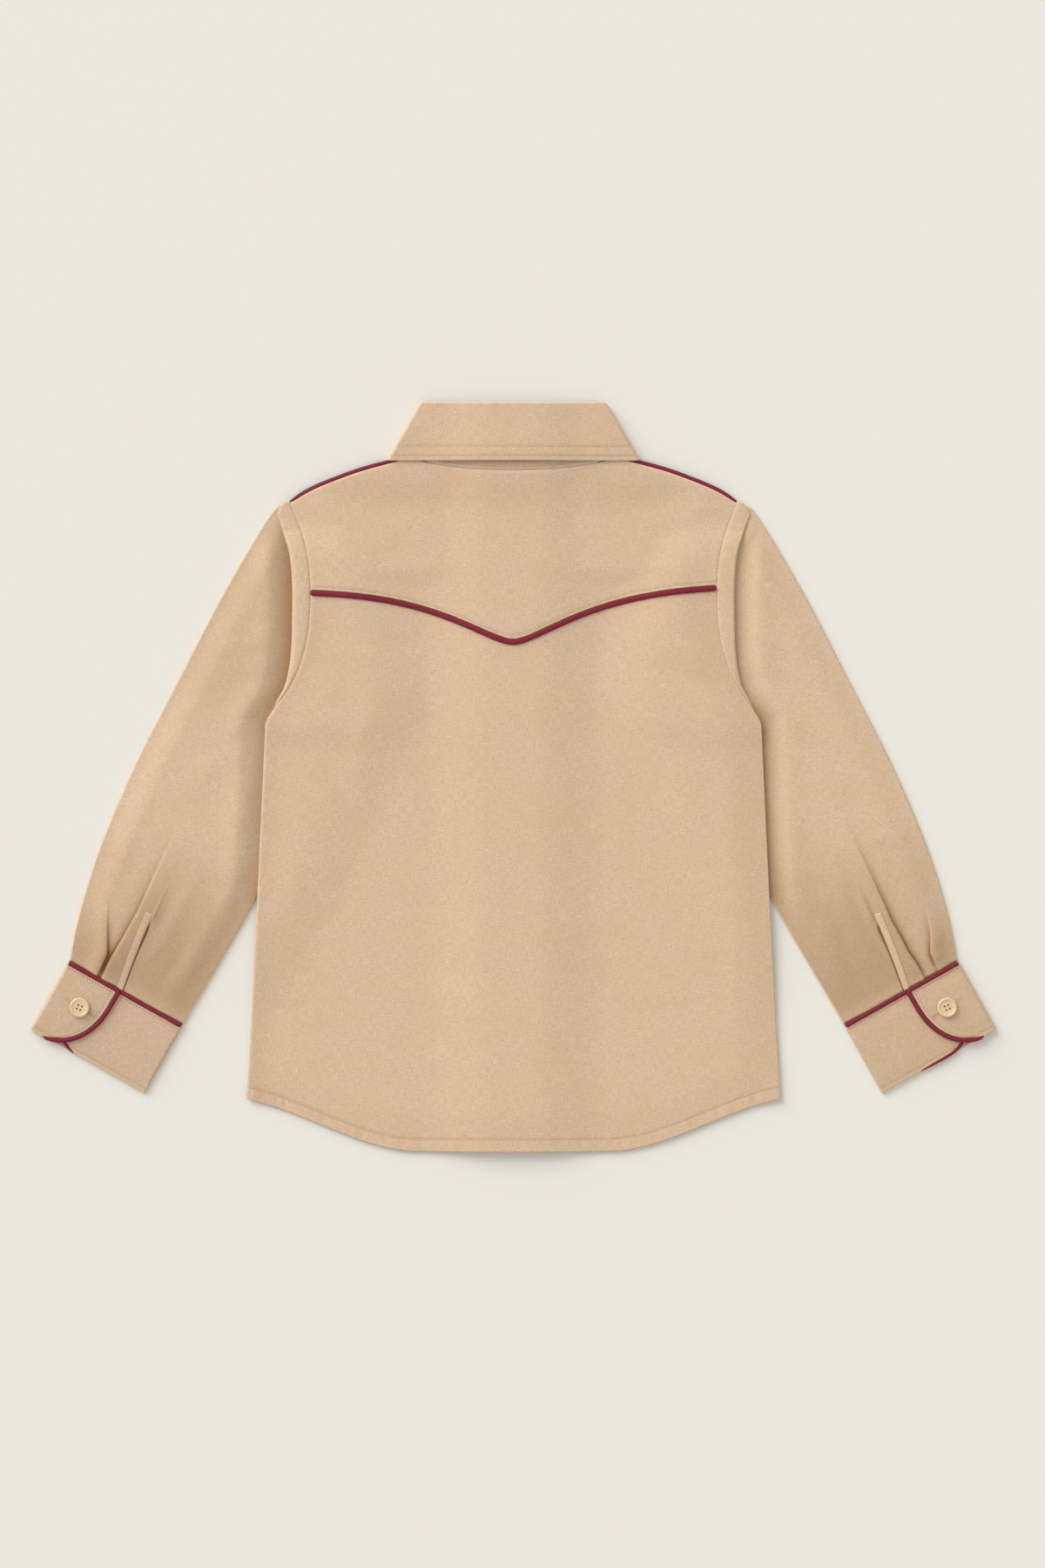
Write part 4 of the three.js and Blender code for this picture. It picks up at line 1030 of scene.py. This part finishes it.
def collar_stand():
    """A band round the neck, whose ends lie over each other at the front."""
    v = shares(14, 0.4)[:, None]

    def place(top, low, front, rise):
        x = mix(top, low, v)
        top_y = (collar_fold_front(top) if front else COLLAR.top_y) - STAND.top_drop
        drop = NECK_FRONT_DROP if front else NECK_BACK_DROP
        low_y = neckline(low, drop) - INSET + 2 * SEAM + smooth((np.abs(low) - 56) / 10)
        y = mix(top_y, low_y, v)
        level = front_level(x, y, rise) if front else back_level(x, y)
        return on_grid(x, y, level + HALF)

    def half(sign, rise, t):
        top, low = (sign * mix(-STAND.overlap, end, t) for end in (STAND.top_half, STAND.low_half))
        return place(top, low, True, rise)

    right = half(1, CENTRE.right, shares(50)[None, :] * 0.985)
    left = half(-1, CENTRE.left, shares(50)[None, ::-1] * 0.985)
    t = shares(110)[None, :] * 0.97 + 0.015
    low = np.clip(NECK_POINT.a * (1 - 2 * t), -STAND.low_half, STAND.low_half)
    back = place(STAND.top_half * (1 - 2 * t), low, False, 0)
    back[..., 2] -= (0.2 * dip(v - 1, 0.03) + 0.25 * dip((1 - v) * 45 - 2.6, 0.8))
    grid = looped(right, back, left, 1.8 * v[:, 0])
    # Painted light and shade: a pale top edge (partly wear), painted shade in the stitching's groove, and a
    # crescent of painted shade under the leaf.
    tone = edge_wear_and_highlight((1 - v) * 40) - 0.12 * dip((1 - v) * 45 - 2.6, 0.7) - 0.25 * smooth((1 - v) * 6)
    cloth("collar_stand", [(grid, unrolled(grid) + 3200, tone)])


# Piping
def cord(node, points, section, tapers, sides=20):
    """Piping of oval section along points, its width level and its two ends drawn in over their tapers."""
    points = np.asarray(points, float)
    run = np.gradient(points, axis=0)
    across = unit(on_grid(run[:, 1], -run[:, 0], 0))
    length = run_along(points)
    near_end = np.minimum(length / tapers[0], (length[-1] - length) / tapers[1])
    size = np.sqrt(1 - (1 - np.clip(near_end, 0, 1)) ** 2) * 0.96 + 0.04
    wobble = 1 + 0.035 * ripple(length, 11, 0.5)
    turn = np.linspace(0, 2 * np.pi, sides + 1)[None, :]
    reach = np.cos(turn) * (size * wobble)[:, None] * section.width / 2
    skin = points[:, None, :] + across[:, None, :] * reach[..., None]
    skin[..., 2] += np.sin(turn) * size[:, None] * section.height / 2
    flat = on_grid(turn / 2 * section.width, length[:, None])
    # Painted light and shade: the tone is high on the cord's upper side and low on its lower side, a painted
    # highlight and painted shade.
    tone = smooth(np.sin(turn) * 1.6 - 0.5) + 0 * length[:, None]
    made = merged(grid_object(f"{node}_cord", [(skin, flat, tone)], piping_satin), 0.001)

    def close_ends(work):
        bmesh.ops.holes_fill(work, edges=[edge for edge in work.edges if edge.is_boundary])
        bmesh.ops.recalc_face_normals(work, faces=work.faces)

    reworked(made.data, close_ends)
    dress(made, node)


def yoke_piping():
    x = np.linspace(-YOKE.half_width + 0.1, YOKE.half_width - 0.1, 260)
    z = back_level(x, yoke_edge(x)) + CLOTH + 0.5
    cord("yoke_piping", on_grid(x, yoke_edge(x), z), PIPING, (0.2, 0.2))


def shoulder_piping(name, side):
    a, y = spaced(shoulder_line[shoulder_line[:, A] > NECK_POINT.a + 3], 90).T
    middle = (front_level(a, y - INSET, CENTRE.right) + back_level(a, y - INSET) + CLOTH) / 2
    cord(f"shoulder_piping_{name}", on_grid(a * side, y, middle + 0.2), SHOULDER_CORD, (16, 16))


def on_cuff(side, places, z, count):
    """Points on a cuff, from places (p, v) on it, evenly spaced."""
    places = spaced(np.array(places, float), count)
    points = cuff_place(places[:, 0], places[:, 1], z)
    points[:, 0] *= side
    return points


def flap_route(inset=0.0, first=0.2, last=79):
    """The flap's piping, or a line further inside it: along the top, round the corner and down the end."""
    corner = 1.8
    end = CUFF_END.reach - inset
    top = PIPING_V + inset
    turn = np.radians(np.linspace(-90, 0, 9))
    bend = on_grid(end - corner + corner * np.cos(turn), top + corner + corner * np.sin(turn))
    return np.vstack([[(first, top)], bend, end_curve(last, inset)])


def cuff_pipings(name, side):
    flap = on_cuff(side, flap_route(), CUFF_Z.flap + 0.5, 200)
    cord(f"cuff_flap_piping_{name}", flap, CUFF_CORD, (0.5, 14))
    band = [(CUFF_END.reach + 0.4, PIPING_V), (CUFF.width - 0.1, PIPING_V)]
    cord(f"cuff_band_piping_{name}", on_cuff(side, band, CUFF_Z.band + 0.7, 60), CUFF_CORD, (0.8, 0.4))
    curve = end_curve(62) * [-1, 1] + [CUFF.underlap, 0]
    places = [(CUFF.underlap - CUFF_END.reach, 2), *curve, *UNDERLAP_ENDS[name]]
    under = on_cuff(side, places, CUFF_Z.band, 120)
    cord(f"cuff_underlap_piping_{name}", under, UNDERLAP_CORD, (2, 9 if side < 0 else 26))


# Buttons
def drill_holes(disc):

    def bores(work):
        size = {"radius1": BUTTON.hole * MM, "radius2": BUTTON.hole * MM, "depth": BUTTON.height * 3 * MM}
        for at in np.radians([0, 90, 180, 270]):
            bore = bmesh.ops.create_cone(work, cap_ends=True, segments=14, **size)
            place = np.array([BUTTON.holes_at * np.cos(at), BUTTON.holes_at * np.sin(at), 0]) * MM
            bmesh.ops.translate(work, verts=bore["verts"], vec=place)

    drill = placed("drill", bpy.data.meshes.new("drill"))
    reworked(drill.data, bores)
    cut = disc.modifiers.new("holes", "BOOLEAN")
    cut.object = drill
    cut.operation = "DIFFERENCE"
    cut.solver = "EXACT"
    apply_modifiers(disc)
    bpy.data.objects.remove(drill)


def button(node, spin, face_down=False):
    """A dished button with a rounded rim and four holes, in its node's place."""
    low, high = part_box(node)
    centre = (np.array(low) + np.array(high)) / 2
    radius, height, rim = BUTTON.radius, BUTTON.height, BUTTON.rim
    well = height - BUTTON.dish
    profile = np.array([
        (0, 0.15), (radius - 2, 0.1), (radius - 0.7, 0.18), (radius - 0.15, 0.6), (radius, 1.1),
        (radius - 0.12, height - 0.5), (radius - 0.5, height - 0.1), (radius - 0.85, height),
        (radius - rim, height - 0.12), (radius - rim - 0.45, well + 0.1), (radius - rim - 1.0, well),
        (2.6, well - 0.08), (0, well - 0.12),
    ])
    turn = np.linspace(0, 2 * np.pi, 49)[None, :]
    r = profile[:, :1]
    grid = on_grid(r * np.cos(turn), r * np.sin(turn), profile[:, 1:] - height / 2)
    disc = merged(grid_object(f"{node}_cream", [(grid, grid[..., :2], 0.0)], button_cream), 0.001)

    def clean(work):
        bmesh.ops.dissolve_degenerate(work, edges=work.edges, dist=1e-7)
        bmesh.ops.recalc_face_normals(work, faces=work.faces)

    reworked(disc.data, clean)
    drill_holes(disc)
    flip = -1 if face_down else 1
    turned = Matrix.Rotation(spin, 4, "Z") @ Matrix.Diagonal((flip, 1, flip, 1))
    disc.data.transform(Matrix.Translation(centre) @ turned)
    dress(disc, node)
    disc.data.set_sharp_from_angle(angle=np.radians(50))


# Sewing, by Geometry Nodes
def stitching_tree():
    """Stitches along lines: a bead of thread at each pitch, its length along the line."""
    tree = bpy.data.node_groups.new("Stitching", "GeometryNodeTree")
    kinds = {
        "Seam": "Geometry", "Pitch": "Float", "Length": "Float", "Width": "Float", "Height": "Float",
        "Thread": "Material",
    }
    for name, kind in kinds.items():
        tree.interface.new_socket(name, in_out="INPUT", socket_type=f"NodeSocket{kind}")
    tree.interface.new_socket("Stitches", in_out="OUTPUT", socket_type="NodeSocketGeometry")
    nodes = Nodes(tree)
    given = nodes.node("NodeGroupInput").other
    curve = nodes.node("GeometryNodeMeshToCurve", {"Mesh": given("Seam")})
    level = nodes.node("GeometryNodeSetCurveNormal", {"Curve": curve}, {"mode": "Z_UP"})
    spacing = {"Curve": level, "Length": given("Pitch")}
    places = nodes.node("GeometryNodeCurveToPoints", spacing, {"mode": "LENGTH"})
    limits = {"Min": 0.86, "Max": 1.08, "Seed": 7}
    vary = nodes.node("FunctionNodeRandomValue", limits, {"data_type": "FLOAT"}, 1)
    bead = nodes.node("GeometryNodeMeshUVSphere", {"Segments": 6, "Rings": 4, "Radius": 0.5})
    sides = {"X": given("Width"), "Y": given("Height"), "Z": vary * given("Length")}
    copies = {
        "Points": places, "Instance": bead, "Rotation": places.other("Rotation"),
        "Scale": nodes.node("ShaderNodeCombineXYZ", sides),
    }
    sewn = nodes.node("GeometryNodeInstanceOnPoints", copies)
    real = nodes.node("GeometryNodeRealizeInstances", {"Geometry": sewn})
    soft = nodes.node("GeometryNodeSetShadeSmooth", {"Geometry": real})
    done = nodes.node("GeometryNodeSetMaterial", {"Geometry": soft, "Material": given("Thread")})
    nodes.node("NodeGroupOutput", {"Stitches": done})
    return tree


stitching = stitching_tree()


def beads(name, lines, material, pitch, length, width, height):
    """Beads along lines of points, as one piece."""
    edges, start = [], 0
    for line in lines:
        edges += [(start + i, start + i + 1) for i in range(len(line) - 1)]
        start += len(line)
    made = mesh_object(name, np.vstack(lines), [], material, edges)
    modifier = made.modifiers.new("sewing", "NODES")
    modifier.node_group = stitching
    values = {
        "Pitch": pitch * MM, "Length": length * MM, "Width": width * MM, "Height": height * MM,
        "Thread": material,
    }
    for socket in stitching.interface.items_tree:
        if socket.name in values:
            modifier[socket.identifier] = values[socket.name]
    apply_modifiers(made)
    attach(made, "root")


def sew(name, lines, pitch=STITCH.pitch, length=STITCH.length):
    """Sews along lines of points, with dark beads between the stitches as painted shade where the thread dips
    into the cloth.
    """
    thread = STITCH.thread
    beads(f"{name}_stitches", lines, tan_thread, pitch, length, thread, thread)
    between = [spaced(line, len(line), pitch / 2) for line in lines]
    beads(f"{name}_holes", between, needle_holes, pitch, pitch - length + 0.1, thread, thread / 2)


def offset_line(x, y, distance):
    """A line moved sideways: to its left as it runs."""
    run = unit(np.gradient(on_grid(x, y), axis=0))
    return x - run[:, 1] * distance, y + run[:, 0] * distance


def body_lines():
    x = np.linspace(-YOKE.half_width + 2, YOKE.half_width - 2, 240)
    x, y = offset_line(x, yoke_edge(x), 3.9)
    hem_x = np.linspace(-HEM.side + 1.5, HEM.side - 1.5, 260)
    hem_y = hem_edge(hem_x) + HEM.turn
    return [
        on_grid(x, y, yoke_surface(x, y) + SKIN),
        on_grid(hem_x, hem_y, back_surface(hem_x, hem_y) + SKIN),
    ]


def collar_lines():
    lines = []
    for up in LEAF_ROWS:
        v = 1 - up / (COLLAR.top_y - COLLAR.low_y)
        x, y = leaf_back(np.linspace(0.012, 0.988, 160), v)
        level = back_level(x, y) + LAYER + HALF
        lines.append(on_grid(x, y, level + leaf_height(v) + leaf_off(x, v) + 0.6))
    x = np.linspace(-66, 66, 130)
    for up in (2.6, 5.6):
        y = neckline(x, NECK_BACK_DROP) - INSET + 2 * SEAM + up
        lines.append(on_grid(x, y, back_level(x, y) + HALF + SKIN))
    return lines


def cuff_lines(side):
    skin = (CUFF.wall - 0.2) / 2
    top = CUFF_Z.flap + skin
    band = CUFF_Z.band + skin
    hem = CUFF.height - CUFF_SEWN.hem
    row = PIPING_V + PIPING.width / 2 + CUFF_SEWN.top + 0.4
    under = end_curve(80, CUFF_SEWN.end)[20:]
    under = on_grid(CUFF.underlap - under[:, 0], np.minimum(under[:, 1], hem))
    return [
        on_cuff(side, flap_route(CUFF_SEWN.end, 1.5, 68), top, 150),
        on_cuff(side, [(1.5, hem), (13, hem)], top, 20),
        on_cuff(side, [(CUFF_END.reach + 3, row), (CUFF.width - 1.5, row)], band, 60),
        on_cuff(side, [*under, (CUFF.width - 2, hem)], band, 90),
    ]


def buttonhole_lines():
    """The two sides of each buttonhole that shows, as worked under the cuffs' and the front's buttons."""
    lines = []
    turn = np.radians(BUTTONHOLE.turn)
    reach = np.linspace(-BUTTONHOLE.length / 2, BUTTONHOLE.length / 2, 12)
    for side in (-1, 1):
        for apart in (-BUTTONHOLE.apart, BUTTONHOLE.apart):
            p = CUFF_BUTTON.p + reach * np.cos(turn) + apart * np.sin(turn)
            v = CUFF_BUTTON.v + reach * np.sin(turn) - apart * np.cos(turn)
            points = cuff_place(p, v, CUFF_Z.flap + CUFF.wall / 2 + 0.25)
            points[:, 0] *= side
            lines.append(points)
    for row in range(BUTTON_ROWS.count):
        y = BUTTON_ROWS.first - row * BUTTON_ROWS.step + reach
        for x in (-BUTTONHOLE.apart, BUTTONHOLE.apart):
            lines.append(on_grid(x, y, front_level(0, y, CENTRE.left) + HALF - SKIN))
    return lines


def placket_lines(name, side):
    lines = []
    far = SLIT.at - SLIT.cut
    s = 1 - np.linspace(SLIT.length + 4, 1, 50) / TUBE.length
    for inset in (0.9, SLIT.binding - 0.6):
        points, _ = sleeve_top(name, s, cuff_scaled(s, far - inset))
        points[:, 2] += SKIN + 0.28
        points[:, 0] *= side
        lines.append(points)
    return lines


def front_lines():
    """The sewing on the shirt's front: down both sides of the band, along the hems and round the collar."""
    lines = []
    y = np.linspace(neckline(0, NECK_FRONT_DROP) - INSET - 1, hem_edge(0) + FRONT_HEM_RISE + 1, 260)
    for x in (-PLACKET_WIDTH / 2 + 4, PLACKET_WIDTH / 2 - 4):
        lines.append(on_grid(x, y, front_level(0, y, CENTRE.left) + HALF - SKIN))
    for side in (-1, 1):
        x = side * np.linspace(PLACKET_WIDTH / 2 + 1, HEM.side - 1.5, 130)
        y = hem_edge(x) + FRONT_HEM_RISE + HEM.turn
        lines.append(on_grid(x, y, np.maximum(front_surface(side, x, y) - SKIN, 0.22)))
        a = np.linspace(COLLAR_FRONT.tip_a + 1, COLLAR.low_half - 3, 60)
        share = (a - COLLAR_FRONT.tip_a) / (COLLAR.low_half - COLLAR_FRONT.tip_a)
        slope = COLLAR.low_y - COLLAR_FRONT.tip_y
        lines.append(on_grid(side * (a - 2.4), COLLAR_FRONT.tip_y + slope * share + 2.2, 0.22))
    return lines


# The order of making
back_panel()
back_yoke()
front_placket()
collar_leaf()
collar_stand()
yoke_piping()
for name, side in SIDES.items():
    front(name, side)
    sleeve(name, side)
    sleeve_placket(name, side)
    cuff(name, side)
    shoulder_piping(name, side)
    cuff_pipings(name, side)
    button(f"cuff_button_{name}", side * 1.2)
for node in ("collar_button", *(f"front_button_{row + 1}" for row in range(BUTTON_ROWS.count))):
    button(node, np.pi / 4, face_down=True)

sew("body", body_lines())
sew("front", front_lines())
sew("collar", collar_lines())
for name, side in SIDES.items():
    sew(f"cuff_{name}", cuff_lines(side))
    sew(f"placket_{name}", placket_lines(name, side), 2.0, 1.4)
beads("buttonhole_stitches", buttonhole_lines(), brown_thread, 0.75, 0.6, BUTTONHOLE.apart * 1.6, 0.3)


# The table, the light and the camera
def table():
    reach = 6000
    corners = [(-reach, -reach, 0), (reach, -reach, 0), (reach, reach, 0), (-reach, reach, 0)]
    mesh_object("table", corners, [(0, 1, 2, 3)], table_top())


def sky():
    world = bpy.data.worlds.new("studio")
    world.use_nodes = True
    bpy.context.scene.world = world
    background = world.node_tree.nodes["Background"]
    background.inputs["Color"].default_value = (1.0, 0.995, 0.985, 1)
    background.inputs["Strength"].default_value = 0.68


def lamp(name, energy, softness, turn, lean):
    """A far soft light, leaning from straight above and turned round the table."""
    light = bpy.data.lights.new(name, "SUN")
    light.energy = energy
    light.angle = np.radians(softness)
    placed(name, light).rotation_euler = (np.radians(lean), 0, np.radians(turn))


def camera():
    view = bpy.data.cameras.new("camera")
    view.sensor_width = 36
    view.lens = 100
    bpy.context.scene.camera = placed("camera", view)
    bpy.context.scene.camera.location = (0.0063, -0.0048, 3.008)


table()
sky()
lamp("key", 2.68, 45, 222, 68)
camera()
bpy.context.scene.view_settings.view_transform = "Standard"
